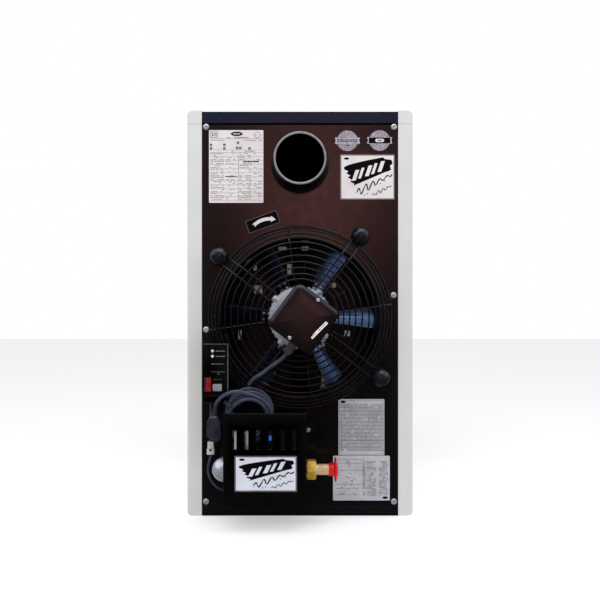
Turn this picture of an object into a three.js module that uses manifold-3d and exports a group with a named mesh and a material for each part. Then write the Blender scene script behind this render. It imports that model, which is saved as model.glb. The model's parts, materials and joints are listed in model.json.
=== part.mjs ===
// A gas-fired, fan-assisted warm-air heater, seen from its service side.
// Millimetres, +Z up, +X to the right of someone who faces the service side.
// The service side, with the fan guard and the gas connection, faces -Y.
// Warm air leaves through the louvres of the front panel, at +Y.
// "Proud" is how far something stands out of the back panel, towards -Y; inside the cabinet it is negative.

import * as THREE from 'three';
import { mergeVertices } from 'three/addons/utils/BufferGeometryUtils.js';
import Module from 'manifold-3d';

const wasm = await Module();
wasm.setup();

// ---------------------------------------------------------------- driving dimensions

const WIDTH = 440;
const HEIGHT = 790;
const CABINET_DEPTH = 400;
const COVER_PROUD = 115; // the valve cover stands furthest off the back panel
const COLUMN = 28.5; // width of a side panel seen from behind
const CORNER = 11; // radius of the cabinet's outer corners
const EDGE = 5; // radius of the cabinet's upright edges
const WALL = 2; // side panels and their caps
const SHEET = 1.5; // steel sheet
const GAP = 0.3; // between pieces that touch
const SEAM = 0.5; // between neighbouring panels

const BACK_Y = COVER_PROUD - (CABINET_DEPTH + COVER_PROUD) / 2;
const FRONT_Y = BACK_Y + CABINET_DEPTH;
const INNER_X = WIDTH / 2 - COLUMN;
const CAP_Z = 764;
const BASE_Z = 19;
const PANEL_Z = [20, 762];

const FAN = { z: 388, opening: 156, throat: 151, duct: 152.5, tip: 147, blades: 6, blade0: 58.7 };
const GUARD = { wire: 1.5, front: 63, spoke: 61, legWire: 1.8, legHalfGap: 9, legs: [53, 143, 233, 323] };
const GUARD_FRONT_RINGS = [71.7, 81.5, 92.5, 103.7, 115.8, 128.5, 140.3];
const GUARD_SIDE_RINGS = [[150, 58], [159, 46], [167, 33], [175, 20]];
const MOUNT = { ring: 195, radius: 18, height: 30 };
const TERMINAL = { x: 7, z: 386.5, side: 98, corner: 14, turn: 53, back: 64, split: 92, front: 106 };

const FLUE = { z: 686, outer: 50, inner: 47.5, mouth: 45.3, proud: 60, inside: -92 };
const GAS = { z: 105, proud: 60 };
const COVER = { x: [-137.4, 11.6], z: [71, 217.6], slotZ: [154, 188], slotWidth: 7 };
const COVER_SLOTS = [-117, -96, -75, -53, -31, -10];
const CONTROL = { x: [-180, -132.5], bodyX: [-180, -137.6], z: [229.5, 340], body: 66, front: 69 };

const CHAMBER = { x: 165, y: [-50, 180], z: [60, 190] };
const COLLECTOR = { x: 150, y: [-50, 180], z: [610, 735] };
const TUBE = { x: 76, width: 136, y: [-25, 155] };
const TUBE_MIDDLE = (TUBE.y[0] + TUBE.y[1]) / 2;

const LOUVRE = { count: 5, x: 160, z: [380, 700], chord: 50, thick: 3, pivotIn: 28, pin: 3 };

const CORD = 7; // mains lead and motor cable
// The coil hangs with its front turns lower than its back ones, by lean for each millimetre past leanFrom.
const COIL = { x: -93.5, z: 213.4, inner: 31.5, outer: 45.5, proud: [57, 81], leanFrom: 60.5, lean: 0.6 };

// ---------------------------------------------------------------- helpers

const proud = (p) => BACK_Y - p;
const radians = THREE.MathUtils.degToRad;

// A closed geometry as a solid, its faces pointing out.
function solid(geometry) {
  const bare = geometry.clone();
  bare.deleteAttribute('normal');
  bare.deleteAttribute('uv');
  const merged = mergeVertices(bare, 1e-4);
  const at = merged.attributes.position.array;
  const faces = [];
  let volume = 0;
  const index = merged.index.array;
  for (let i = 0; i < index.length; i += 3) {
    const [a, b, c] = [index[i], index[i + 1], index[i + 2]];
    if (a === b || b === c || c === a) continue;
    faces.push(a, b, c);
    const corner = (k) => new THREE.Vector3(at[3 * k], at[3 * k + 1], at[3 * k + 2]);
    volume += corner(a).dot(corner(b).cross(corner(c)));
  }
  if (volume < 0) faces.reverse();
  const vertProperties = new Float32Array(at);
  return new wasm.Manifold(new wasm.Mesh({ numProp: 3, vertProperties, triVerts: new Uint32Array(faces) }));
}

function geometryOf(body) {
  const mesh = body.getMesh();
  const geometry = new THREE.BufferGeometry();
  geometry.setAttribute('position', new THREE.BufferAttribute(mesh.vertProperties, 3));
  geometry.setIndex(new THREE.BufferAttribute(mesh.triVerts, 1));
  geometry.computeVertexNormals();
  return geometry;
}

const joined = (bodies) => bodies.reduce((sum, body) => sum.add(body));
const cutBy = (body, tools) => tools.reduce((left, tool) => left.subtract(tool), body);

function block(x, y, z) {
  const size = [x, y, z].map(([a, b]) => Math.abs(b - a));
  const middle = [x, y, z].map(([a, b]) => (a + b) / 2);
  return solid(new THREE.BoxGeometry(...size).translate(...middle));
}

// A block given by its two proud distances instead of Y.
const standing = (x, p, z) => block(x, p.map(proud), z);

// Rounded polygon: corners are [u, v, radius].
function rounded(corners) {
  const shape = new THREE.Shape();
  const point = (i) => new THREE.Vector2(...corners.at(i % corners.length));
  corners.forEach(([u, v, radius], i) => {
    const here = new THREE.Vector2(u, v);
    const before = point(i - 1 + corners.length).sub(here).setLength(radius).add(here);
    const after = point(i + 1).sub(here).setLength(radius).add(here);
    if (i === 0) shape.moveTo(before.x, before.y);
    else shape.lineTo(before.x, before.y);
    if (radius > 0) shape.quadraticCurveTo(u, v, after.x, after.y);
  });
  shape.closePath();
  return shape;
}

const rectangle = ([u0, u1], [v0, v1], radius = 0) =>
  rounded([[u0, v0, radius], [u1, v0, radius], [u1, v1, radius], [u0, v1, radius]]);

function circle(radius, sides, u = 0, v = 0) {
  const points = [];
  for (let i = 0; i < sides; i += 1) {
    const angle = (2 * Math.PI * (i + 0.5)) / sides;
    points.push(new THREE.Vector2(u + radius * Math.cos(angle), v + radius * Math.sin(angle)));
  }
  return new THREE.Shape(points);
}

// The outline's own plane for each extrusion direction: X takes (y, z), Y takes (x, z), Z takes (x, y).
function prism(axis, shape, [from, to], curveSegments = 4) {
  const [low, high] = [Math.min(from, to), Math.max(from, to)];
  const geometry = new THREE.ExtrudeGeometry(shape, { depth: high - low, bevelEnabled: false, curveSegments });
  if (axis === 'Y') geometry.rotateX(Math.PI / 2).translate(0, high, 0);
  if (axis === 'X') geometry.rotateX(Math.PI / 2).rotateZ(Math.PI / 2).translate(low, 0, 0);
  if (axis === 'Z') geometry.translate(0, 0, low);
  return solid(geometry);
}

const drum = (axis, radius, sides, [u, v], range) => prism(axis, circle(radius, sides, u, v), range);

// Turned about an axis along -Y through (x, z): the profile is [radius, proud].
function turnedProud(profile, sides, [x, z]) {
  const points = profile.map(([r, p]) => new THREE.Vector2(r, p));
  return solid(new THREE.LatheGeometry(points, sides).rotateX(Math.PI).translate(x, BACK_Y, z));
}

// Turned about an axis along +X through (y, z): the profile is [radius, x].
function turnedX(profile, sides, [y, z]) {
  const points = profile.map(([r, x]) => new THREE.Vector2(r, x));
  return solid(new THREE.LatheGeometry(points, sides).rotateZ(-Math.PI / 2).translate(0, y, z));
}

// A straight wire or rod between two points.
function rod(from, to, radius, sides) {
  const [a, b] = [new THREE.Vector3(...from), new THREE.Vector3(...to)];
  const along = b.clone().sub(a);
  const geometry = new THREE.CylinderGeometry(radius, radius, along.length(), sides);
  geometry.applyQuaternion(new THREE.Quaternion().setFromUnitVectors(
    new THREE.Vector3(0, 1, 0),
    along.clone().normalize(),
  ));
  const middle = a.add(b).multiplyScalar(0.5);
  return solid(geometry.translate(middle.x, middle.y, middle.z));
}

// A cord through points given as [x, z, proud].
function cordThrough(points, diameter, sides, steps) {
  const path = new THREE.CatmullRomCurve3(points.map(([x, z, p]) => new THREE.Vector3(x, proud(p), z)));
  const section = circle(diameter / 2, sides);
  return solid(new THREE.ExtrudeGeometry(section, { steps, extrudePath: path, bevelEnabled: false }));
}

// A point at an angle round the fan's axis, as [x, y, z].
function roundFan(radius, degrees, p, sideways = 0) {
  const angle = radians(degrees);
  const x = radius * Math.cos(angle) - sideways * Math.sin(angle);
  const z = radius * Math.sin(angle) + sideways * Math.cos(angle);
  return [x, proud(p), FAN.z + z];
}

const FINISH = {
  ivory: [0xdedfdb, 0.45, 0.0],
  navy: [0x141a2c, 0.25, 0.1],
  black: [0x0d0a0a, 0.3, 0.1],
  wire: [0x101014, 0.4, 0.2],
  rubber: [0x1b1b20, 0.6, 0.0],
  plastic: [0x151216, 0.3, 0.0],
  blade: [0x59708f, 0.35, 0.8],
  cast: [0xb8bcc2, 0.45, 0.9],
  steel: [0xa9abb0, 0.4, 0.9],
  brass: [0xb98a3a, 0.3, 0.9],
  red: [0xd8121f, 0.35, 0.0],
  white: [0xe4e4e2, 0.4, 0.0],
  cord: [0x23242c, 0.5, 0.0],
};

const heater = new THREE.Group();

function add(name, body, finish) {
  const [color, roughness, metalness] = FINISH[finish];
  const mesh = new THREE.Mesh(geometryOf(body), new THREE.MeshStandardMaterial({ color, roughness, metalness }));
  mesh.name = name;
  heater.add(mesh);
}

// ---------------------------------------------------------------- cabinet

const plan = prism('Z', rectangle([-WIDTH / 2, WIDTH / 2], [BACK_Y, FRONT_Y], EDGE), [-1, HEIGHT + 1]);
const inside = [BACK_Y + WALL, FRONT_Y - WALL];

// A moulded tray that closes one side of the cabinet, open towards the middle.
function sidePanel(side) {
  const [inner, outer] = [side * INNER_X, (side * WIDTH) / 2];
  const shell = rounded([[inner, 0, 0], [outer, 0, CORNER], [outer, CAP_Z, 0], [inner, CAP_Z, 0]]);
  const [open, wall] = [inner - side, outer - side * WALL];
  const hollow = rounded([[open, WALL, 0], [wall, WALL, CORNER - WALL], [wall, HEIGHT, 0], [open, HEIGHT, 0]]);
  return prism('Y', shell, [BACK_Y, FRONT_Y]).intersect(plan).subtract(prism('Y', hollow, inside));
}

function sideCap(side) {
  const [inner, outer] = [side * INNER_X, (side * WIDTH) / 2];
  const bottom = CAP_Z + SEAM;
  const shell = rounded([[inner, bottom, 0], [outer, bottom, 0], [outer, HEIGHT, CORNER], [inner, HEIGHT, 0]]);
  const [open, wall, under] = [inner - side, outer - side * WALL, HEIGHT - WALL];
  const hollow = rounded([[open, 0, 0], [wall, 0, 0], [wall, under, CORNER - WALL], [open, under, 0]]);
  return prism('Y', shell, [BACK_Y, FRONT_Y]).intersect(plan).subtract(prism('Y', hollow, inside));
}

for (const [side, word] of [[-1, 'left'], [1, 'right']]) {
  add(`side_panel_${word}`, sidePanel(side), 'ivory');
  add(`side_cap_${word}`, sideCap(side), 'ivory');
}

const acrossX = [-INNER_X + SEAM, INNER_X - SEAM];
const topZ = [765.5, 788];

// Channels across the cabinet: the top with its edges down, the base with its edges up.
function topPanel() {
  const sheet = block(acrossX, [BACK_Y, FRONT_Y], topZ);
  const under = block([-WIDTH, WIDTH], [BACK_Y + SHEET, FRONT_Y - SHEET], [0, topZ[1] - SHEET]);
  return sheet.subtract(under);
}

function basePan() {
  const sheet = block(acrossX, [BACK_Y, FRONT_Y], [0, BASE_Z]);
  const above = block([-WIDTH, WIDTH], [BACK_Y + SHEET, FRONT_Y - SHEET], [SHEET, HEIGHT]);
  return sheet.subtract(above);
}

add('top_panel', topPanel(), 'navy');
add('base_pan', basePan(), 'black');

function backPanel() {
  const holes = [-SHEET - 1, 1];
  return cutBy(standing(acrossX, [0, -SHEET], PANEL_Z), [
    drum('Y', FAN.opening, 56, [0, FAN.z], holes.map(proud)),
    drum('Y', FLUE.outer + 0.6, 36, [0, FLUE.z], holes.map(proud)),
    drum('Y', 11.5, 16, [-141, GAS.z], holes.map(proud)),
  ]);
}

add('back_panel', backPanel(), 'black');

// Front sheet with the warm-air outlet; its two folded cheeks carry the louvre pins.
function frontPanel() {
  const [low, high] = LOUVRE.z;
  const opening = [-LOUVRE.x, LOUVRE.x];
  const sheet = block(acrossX, [FRONT_Y - SHEET, FRONT_Y], PANEL_Z);
  const outlet = block(opening, [FRONT_Y - 10, FRONT_Y + 10], LOUVRE.z);
  const cheeks = [-1, 1].map((side) =>
    block([side * LOUVRE.x, side * (LOUVRE.x + SHEET)], [FRONT_Y - LOUVRE.chord - 5, FRONT_Y], [low, high]));
  const pinHoles = louvreHeights.map((z) =>
    drum('X', LOUVRE.pin + 0.4, 12, [FRONT_Y - LOUVRE.pivotIn, z], [-WIDTH, WIDTH]));
  return cutBy(joined([sheet.subtract(outlet), ...cheeks]), pinHoles);
}

const louvrePitch = (LOUVRE.z[1] - LOUVRE.z[0]) / LOUVRE.count;
const louvreHeights = Array.from({ length: LOUVRE.count }, (_, i) => LOUVRE.z[0] + louvrePitch * (i + 0.5));

// A lens-shaped blade with a pin at each end.
function louvre(z) {
  const y = FRONT_Y - LOUVRE.pivotIn;
  const half = LOUVRE.chord / 2;
  const section = new THREE.Shape();
  section.moveTo(y - half, z);
  section.quadraticCurveTo(y, z + 2 * LOUVRE.thick, y + half, z);
  section.quadraticCurveTo(y, z - 2 * LOUVRE.thick, y - half, z);
  const blade = prism('X', section, [-LOUVRE.x + 1.5, LOUVRE.x - 1.5], 4);
  const reach = LOUVRE.x + SHEET + 3;
  return blade.add(drum('X', LOUVRE.pin, 12, [y, z], [-reach, reach]));
}

add('front_panel', frontPanel(), 'black');
louvreHeights.forEach((z, i) => add(`louvre_${i + 1}`, louvre(z), 'black'));

// Pan-head screws that hold the back panel, their shanks left short behind the heads.
const SCREWS = {
  upper_left: [-183, 758],
  upper_right: [183, 758],
  middle_left: [-183, 363],
  middle_right: [182, 430],
  lower_left: [-183, 28],
  lower_right: [183, 28],
};
for (const [where, at] of Object.entries(SCREWS)) {
  add(`panel_screw_${where}`, turnedProud([[0, GAP], [5.75, GAP], [5.4, 1.8], [3.4, 3.1], [0, 3.5]], 14, at), 'steel');
}

// ---------------------------------------------------------------- fan

const fanAxis = [0, FAN.z];

add('fan_shroud', turnedProud([
  [172, -1.8],
  [172, -3.3],
  [FAN.opening, -3.3],
  [FAN.duct, -10],
  [FAN.duct, -48],
  [FAN.throat, -48],
  [FAN.throat, -8],
  [155.4, -1.8],
  [172, -1.8],
], 40, fanAxis), 'black');

// One paddle: a tapered plate, pitched about its own length, its root inside the hub ring.
function fanBlade(degrees) {
  const outline = rounded([[54, -12, 0], [100, -17, 6], [FAN.tip, -23, 9], [FAN.tip, 23, 9], [100, 15, 6], [54, 12, 0]]);
  const geometry = new THREE.ExtrudeGeometry(outline, { depth: 2, bevelEnabled: false, curveSegments: 3 });
  geometry.translate(0, 0, -1).rotateX(Math.PI / 2).rotateX(radians(-32));
  geometry.rotateY(-radians(degrees)).translate(0, proud(-24), FAN.z);
  return solid(geometry);
}

function impeller() {
  const hub = turnedProud([[51.3, -7], [56.5, -7], [56.5, -41], [51.3, -41], [51.3, -7]], 36, fanAxis);
  const step = 360 / FAN.blades;
  const bore = drum('Y', 51.3, 36, fanAxis, [proud(0), proud(-60)]);
  const blades = Array.from({ length: FAN.blades }, (_, i) => fanBlade(FAN.blade0 + step * i).subtract(bore));
  return joined([hub, ...blades]);
}

add('impeller', impeller(), 'blade');
add('rotor_can', turnedProud([[0, 29.7], [48, 29.7], [50.7, 27], [50.7, -42], [44, -46], [0, -46]], 36, fanAxis), 'cast');

// The fixed end of the motor: end-bell, boss under the terminal box, four lugs that the guard is fixed to.
function motorStator() {
  const bell = turnedProud([[0, 30.3], [54, 30.3], [59, 36], [59, 54], [52, 60], [40, 60], [40, 63.7], [0, 63.7]], 36, fanAxis);
  const lugs = GUARD.legs.map((degrees) => rod(roundFan(50, degrees, 53), roundFan(63.5, degrees, 53), 7, 8));
  return joined([bell, ...lugs]);
}

add('motor_stator', motorStator(), 'cast');

const ring = (radius, p, wire) =>
  solid(new THREE.TorusGeometry(radius, wire, 3, 24).rotateX(Math.PI / 2).translate(0, proud(p), FAN.z));

// Wire guard: welded rings, four double legs that run out to the rubber mounts, four single spokes between them.
function fanGuard() {
  const { wire, front, spoke, legWire, legHalfGap } = GUARD;
  const rings = GUARD_FRONT_RINGS.map((radius) => ring(radius, front, wire));
  const sides = GUARD_SIDE_RINGS.map(([radius, p]) => ring(radius, p, wire));
  const wires = [];
  for (const degrees of GUARD.legs) {
    for (const off of [-legHalfGap, legHalfGap]) {
      const bends = [[64, spoke], [147, spoke], [178, 25]];
      const at = bends.map(([radius, p]) => roundFan(radius, degrees, p, off));
      wires.push(rod(at[0], at[1], legWire, 4), rod(at[1], at[2], legWire, 4));
    }
    const single = degrees + 45;
    wires.push(rod(roundFan(70, single, spoke), roundFan(149, single, spoke), wire, 4));
    wires.push(rod(roundFan(147.5, single, spoke + 1), roundFan(176, single, 18), wire, 4));
  }
  return joined([...rings, ...sides, ...wires]);
}

add('fan_guard', fanGuard(), 'wire');

const { radius: foot, height: tall } = MOUNT;
const dome = [[0, GAP], [foot, GAP], [foot, 0.5 * tall], [0.86 * foot, 0.8 * tall], [0.5 * foot, 0.96 * tall], [0, tall]];
GUARD.legs.forEach((degrees, i) => {
  const [x, , z] = roundFan(MOUNT.ring, degrees, 0);
  add(`guard_mount_${i + 1}`, turnedProud(dome, 16, [x, z]), 'rubber');
});

// The terminal box is turned with the guard's legs.
function terminalPart(inset, [from, to]) {
  const half = TERMINAL.side / 2 - inset;
  const shape = rectangle([-half, half], [-half, half], TERMINAL.corner);
  const geometry = new THREE.ExtrudeGeometry(shape, { depth: to - from, bevelEnabled: false, curveSegments: 4 });
  geometry.rotateZ(radians(TERMINAL.turn)).rotateX(Math.PI / 2);
  return solid(geometry.translate(TERMINAL.x, proud(from), TERMINAL.z));
}

add('terminal_box', terminalPart(1, [TERMINAL.back, TERMINAL.split]), 'plastic');
add('terminal_lid', terminalPart(0, [TERMINAL.split + GAP, TERMINAL.front]), 'plastic');

// A point beside the terminal box, counted along its lower-left side's normal and along that side.
function besideTerminal(out, along, p) {
  const normal = radians(TERMINAL.turn + 180);
  const x = TERMINAL.x + out * Math.cos(normal) - along * Math.sin(normal);
  const z = TERMINAL.z + out * Math.sin(normal) + along * Math.cos(normal);
  return [x, proud(p), z];
}

add('motor_gland', rod(besideTerminal(48.3, 12.9, 76), besideTerminal(73.2, 12.9, 76), 8.5, 10), 'plastic');

add('motor_cable', cordThrough([
  [-27.2, 319.7, 76],
  [-31.2, 314.5, 75.8],
  [-36.1, 310.4, 75.1],
  [-41.5, 306.5, 74],
  [-48.8, 301.2, 72.7],
  [-56, 296, 71.5],
  [-63, 290.4, 70.6],
  [-70, 285, 70],
  [-77.2, 280.6, 69.9],
  [-83.5, 276.5, 69],
  [-91, 269, 64.5],
  [-95.3, 260, 54],
  [-94.5, 248, 45.5],
  [-85, 233, 33],
  [-77.5, 223, 21],
  [-74.5, 219.5, 10],
  [-74, 219, 1.2],
], CORD, 8, 34), 'cord');

// ---------------------------------------------------------------- flue and heat exchanger

const flueAxis = [0, FLUE.z];

add('flue_spigot', turnedProud([
  [FLUE.inner, FLUE.inside],
  [FLUE.outer, FLUE.inside],
  [FLUE.outer, FLUE.proud - 1],
  [FLUE.outer - 1, FLUE.proud],
  [FLUE.mouth + 1, FLUE.proud],
  [FLUE.inner, FLUE.proud - 5],
  [FLUE.inner, FLUE.inside],
], 36, flueAxis), 'black');

const shellOf = (x, y, z, wall) => block(x, y, z).subtract(
  block([x[0] + wall, x[1] - wall], [y[0] + wall, y[1] - wall], [z[0] + wall, z[1] - wall]));

const tubeSection = (x, inset) => rectangle(
  [x - TUBE.width / 2 + inset, x + TUBE.width / 2 - inset],
  [TUBE.y[0] + inset, TUBE.y[1] - inset],
  30 - inset,
);
const tubeCentres = [-TUBE.x, TUBE.x];

// The flue collector: slots in its floor take the exchanger tubes, a hole in its rear takes the flue.
// A deflector hangs from it between the tubes, so that the air has to pass round them.
function flueCollector() {
  const { x, y, z } = COLLECTOR;
  const between = TUBE.x - TUBE.width / 2 - GAP;
  const deflector = block([-between, between], [TUBE_MIDDLE, TUBE_MIDDLE + SHEET], [CHAMBER.z[1] + GAP, z[0] + SHEET]);
  return cutBy(shellOf([-x, x], y, z, SHEET).add(deflector), [
    ...tubeCentres.map((centre) => prism('Z', tubeSection(centre, SHEET), [z[0] - 1, z[0] + 5])),
    drum('Y', FLUE.inner, 32, flueAxis, [y[0] - 1, y[0] + 5]),
  ]);
}

// The combustion chamber: open below for air, slotted above for the exchanger tubes.
function combustionChamber() {
  const { x, y, z } = CHAMBER;
  return cutBy(shellOf([-x, x], y, z, SHEET), [
    block([-x + 12, x - 12], [y[0] + 12, y[1] - 12], [z[0] - 1, z[0] + 5]),
    ...tubeCentres.map((centre) => prism('Z', tubeSection(centre, SHEET), [z[1] - 5, z[1] + 1])),
    drum('Y', 11.5, 16, [-141, GAS.z], [y[0] - 1, y[0] + 5]),
    drum('Y', 5, 12, [60, 135], [y[0] - 1, y[0] + 5]),
  ]);
}

add('flue_collector', flueCollector(), 'steel');
add('combustion_chamber', combustionChamber(), 'steel');
tubeCentres.forEach((centre, i) => {
  const length = [CHAMBER.z[1] + GAP, COLLECTOR.z[0] - GAP];
  const tube = prism('Z', tubeSection(centre, 0), length).subtract(prism('Z', tubeSection(centre, SHEET), [0, HEIGHT]));
  add(`exchanger_tube_${['left', 'right'][i]}`, tube, 'steel');
});

// A bar burner with a row of flame slots along its top.
function burner() {
  const body = block([-158, 158], [30, 70], [92, 118]);
  const slots = Array.from({ length: 9 }, (_, i) => block([-136 + 32 * i, -120 + 32 * i], [47, 53], [100, 120]));
  return cutBy(body, slots);
}

add('burner', burner(), 'steel');
add('igniter', joined([
  rod([60, CHAMBER.y[0] - 8, 135], [60, 12, 135], 4.5, 10),
  rod([60, 10, 135], [60, 48, 126], 1.3, 6),
]), 'white');

// ---------------------------------------------------------------- gas train

const gasLine = [proud(GAS.proud), GAS.z];
const ELBOW = { x: -141, radius: 23, pipe: 10.5 };

// Gas control: cast body, two upright solenoids, and the bosses for the pipes at its ends.
function gasValve() {
  const body = standing([-117, -22], [42, 104], [84, 132]);
  const solenoids = [-110, -90].map((x) => drum('Z', 9.5, 16, [x, proud(94)], [130, 186]));
  const inlet = rod([-24, ...gasLine], [11.8, ...gasLine], 12, 16);
  const pressureTap = rod([-40, proud(60), 130], [-40, proud(60), 142], 4, 8);
  return joined([body, ...solenoids, inlet, pressureTap]);
}

add('gas_valve', gasValve(), 'cast');
add('outlet_elbow', joined([
  solid(new THREE.SphereGeometry(ELBOW.radius, 16, 10).translate(ELBOW.x, ...gasLine)),
  rod([ELBOW.x, ...gasLine], [-117 - GAP, ...gasLine], 17, 16),
  rod([ELBOW.x, ...gasLine], [ELBOW.x, proud(20), GAS.z], 17, 16),
]), 'steel');
add('gas_manifold', turnedProud([
  [8, 19.7],
  [ELBOW.pipe, 19.7],
  [ELBOW.pipe, -172],
  [8, -172],
  [8, 19.7],
], 16, [ELBOW.x, GAS.z]), 'steel');

// Ignition control with its blue indicator, standing behind the slots of the cover.
add('ignition_module', joined([
  standing([-60, 4], [84, 108], [145, 200]),
  drum('Y', 3, 10, [-53.5, 172.6], [proud(107), proud(110)]),
]), 'plastic');

// Folded shield over the gas train, open above and to the left; its tab is screwed to the back panel.
function valveCover() {
  const { x, z, slotZ, slotWidth } = COVER;
  const base = [GAP, COVER_PROUD];
  const front = standing(x, [COVER_PROUD - SHEET, COVER_PROUD], z);
  const right = prism('X', new THREE.Shape([
    [GAP, z[0]],
    [COVER_PROUD, z[0]],
    [COVER_PROUD, z[1]],
    [50, z[1]],
    [30, z[1] - 12],
    [GAP, z[1] - 12],
  ].map(([p, height]) => new THREE.Vector2(proud(p), height))), [x[1] - SHEET, x[1]]);
  const bottom = standing(x, base, [z[0], z[0] + SHEET]);
  const lip = standing(x, [COVER_PROUD - 9, COVER_PROUD], [z[1] - SHEET, z[1]]);
  const tab = standing([x[1] - SHEET, x[1] + 13], [GAP, GAP + SHEET], [165, 185]);
  const slots = COVER_SLOTS.map((centre) =>
    standing([centre - slotWidth / 2, centre + slotWidth / 2], [COVER_PROUD - 5, COVER_PROUD + 5], slotZ));
  return cutBy(joined([front, right, bottom, lip, tab]), [...slots, drum('X', 13, 20, gasLine, [0, 20])]);
}

add('valve_cover', valveCover(), 'black');

const hexagon = circle(19.5, 6, ...gasLine);
add('union_nut', prism('X', hexagon, [12.1, 30]), 'brass');
add('inlet_nipple', turnedX([[7.5, 30.3], [10.5, 30.3], [10.5, 61], [7.5, 61], [7.5, 30.3]], 20, gasLine), 'brass');
add('inlet_cap', turnedX([
  [0, 61.3],
  [10.9, 61.3],
  [10.9, 53.8],
  [12.2, 53.5],
  [12.2, 63.5],
  [22.5, 65],
  [22.5, 67.5],
  [12, 70],
  [0, 71],
], 24, gasLine), 'red');

// ---------------------------------------------------------------- control box

const fasciaFloor = 241;
const ROCKER = { x: -171, z: 264.5, width: 13, height: 27 };
const BUTTON = { x: -153, z: 258.6, width: 17, height: 13 };
const LENSES = { x: -162, z: [326.3, 316.5], radius: 2.75 };
const around = (middle, size, clear = 0) => [middle - size / 2 - clear, middle + size / 2 + clear];

// The body stands clear of the fan guard; its lower edge is folded forward into a ledge.
function controlBox() {
  const { bodyX: x, z, body } = CONTROL;
  const clearOfGuard = drum('Y', 181, 64, fanAxis, [proud(-1), proud(body + 1)]);
  const hollow = standing([x[0] + SHEET, x[1] - SHEET], [GAP + SHEET, body + 1], [z[0] + SHEET, z[1] - SHEET]);
  const outer = standing(x, [GAP, body], z).subtract(clearOfGuard);
  const wallRing = drum('Y', 181 + SHEET, 64, fanAxis, [proud(-1), proud(body + 1)]);
  const ledge = standing(x, [body - 1, body + 5], [z[0], z[0] + SHEET]);
  return joined([outer.subtract(hollow.subtract(wallRing)), ledge]);
}

function controlFascia() {
  const { x, z, body, front } = CONTROL;
  const through = [body - 5, front + 5];
  return cutBy(standing(x, [body + GAP, front], [fasciaFloor, z[1]]), [
    standing(around(ROCKER.x, ROCKER.width, 0.4), through, around(ROCKER.z, ROCKER.height, 0.4)),
    standing(around(BUTTON.x, BUTTON.width, 0.4), through, around(BUTTON.z, BUTTON.height, 0.4)),
    ...LENSES.z.map((z0) => drum('Y', LENSES.radius + 0.3, 12, [LENSES.x, z0], through.map(proud))),
  ]);
}

// A rocker with its upper half pressed in; it turns about an axis along X just behind the fascia.
function powerRocker() {
  const { x, z, width, height } = ROCKER;
  const half = height / 2;
  const side = new THREE.Shape([
    [proud(63), z - half + 0.6],
    [proud(73.5), z - half + 0.2],
    [proud(70.2), z],
    [proud(69.3), z + half - 0.6],
    [proud(61), z + half - 1.2],
  ].map((at) => new THREE.Vector2(...at)));
  return prism('X', side, around(x, width));
}

add('control_box', controlBox(), 'black');
add('control_fascia', controlFascia(), 'black');
add('power_rocker', powerRocker(), 'red');
add('reset_button', standing(around(BUTTON.x, BUTTON.width), [62, 72], around(BUTTON.z, BUTTON.height)), 'white');
['upper', 'lower'].forEach((word, i) => {
  const lens = [[0, 64], [LENSES.radius, 64], [LENSES.radius, 69.4], [1.6, 70.4], [0, 70.7]];
  add(`indicator_lens_${word}`, turnedProud(lens, 12, [LENSES.x, LENSES.z[i]]), 'white');
});

// ---------------------------------------------------------------- cords

add('mains_gland', turnedProud([[0, GAP], [9, GAP], [9, 5], [6, 14], [0, 14]], 12, [-120, 150]), 'plastic');
add('mains_lead_start', cordThrough([
  [-120, 150, 14.3],
  [-120, 150.1, 19],
  [-120, 150.5, 24],
  [-119.7, 151.4, 28.6],
  [-119, 153, 33],
  [-117.3, 155.1, 37.1],
  [-115, 157.5, 41],
  [-108, 163, 47.5],
  [-100, 168.5, 51.5],
  [-94, 172.5, 53],
], CORD, 8, 16), 'cord');

const [coilBack, coilFront] = COIL.proud;
const coil = turnedProud([
  [COIL.inner, coilBack + 4],
  [COIL.inner + 4, coilBack],
  [COIL.outer - 4, coilBack],
  [COIL.outer, coilBack + 4],
  [COIL.outer, coilFront - 4],
  [COIL.outer - 4, coilFront],
  [COIL.inner + 4, coilFront],
  [COIL.inner, coilFront - 4],
  [COIL.inner, coilBack + 4],
], 32, [COIL.x, COIL.z]);
add('mains_coil', coil.warp((point) => {
  point[2] -= COIL.lean * Math.max(0, BACK_Y - point[1] - COIL.leanFrom);
}), 'cord');

add('mains_lead_end', cordThrough([
  [-108, 251.8, 77.8],
  [-119, 252.4, 78.4],
  [-129.5, 250.2, 79.2],
  [-139.5, 245.4, 79.5],
  [-147.6, 238.6, 79.5],
  [-153, 231.8, 79],
  [-154.9, 227.2, 78.6],
], CORD, 8, 12), 'cord');

// Moulded angled plug: tapered relief, body, and two pins that point at the back panel.
function mainsPlug() {
  const relief = rod([-155, proud(78.5), 226], [-158.5, proud(78), 204], 6, 10);
  const body = prism('Y', rounded([
    [-165, 209, 4],
    [-152, 209, 4],
    [-144, 196, 5],
    [-144, 166, 5],
    [-152, 161, 4],
    [-163, 161, 4],
    [-171, 178, 6],
    [-171, 195, 6],
  ]), [proud(66), proud(90)]);
  const pins = [168.5, 187.5].map((z) => rod([-157, proud(67), z], [-157, proud(47), z], 2.4, 8));
  return joined([relief, body, ...pins]);
}

add('mains_plug', mainsPlug(), 'cord');

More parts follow.
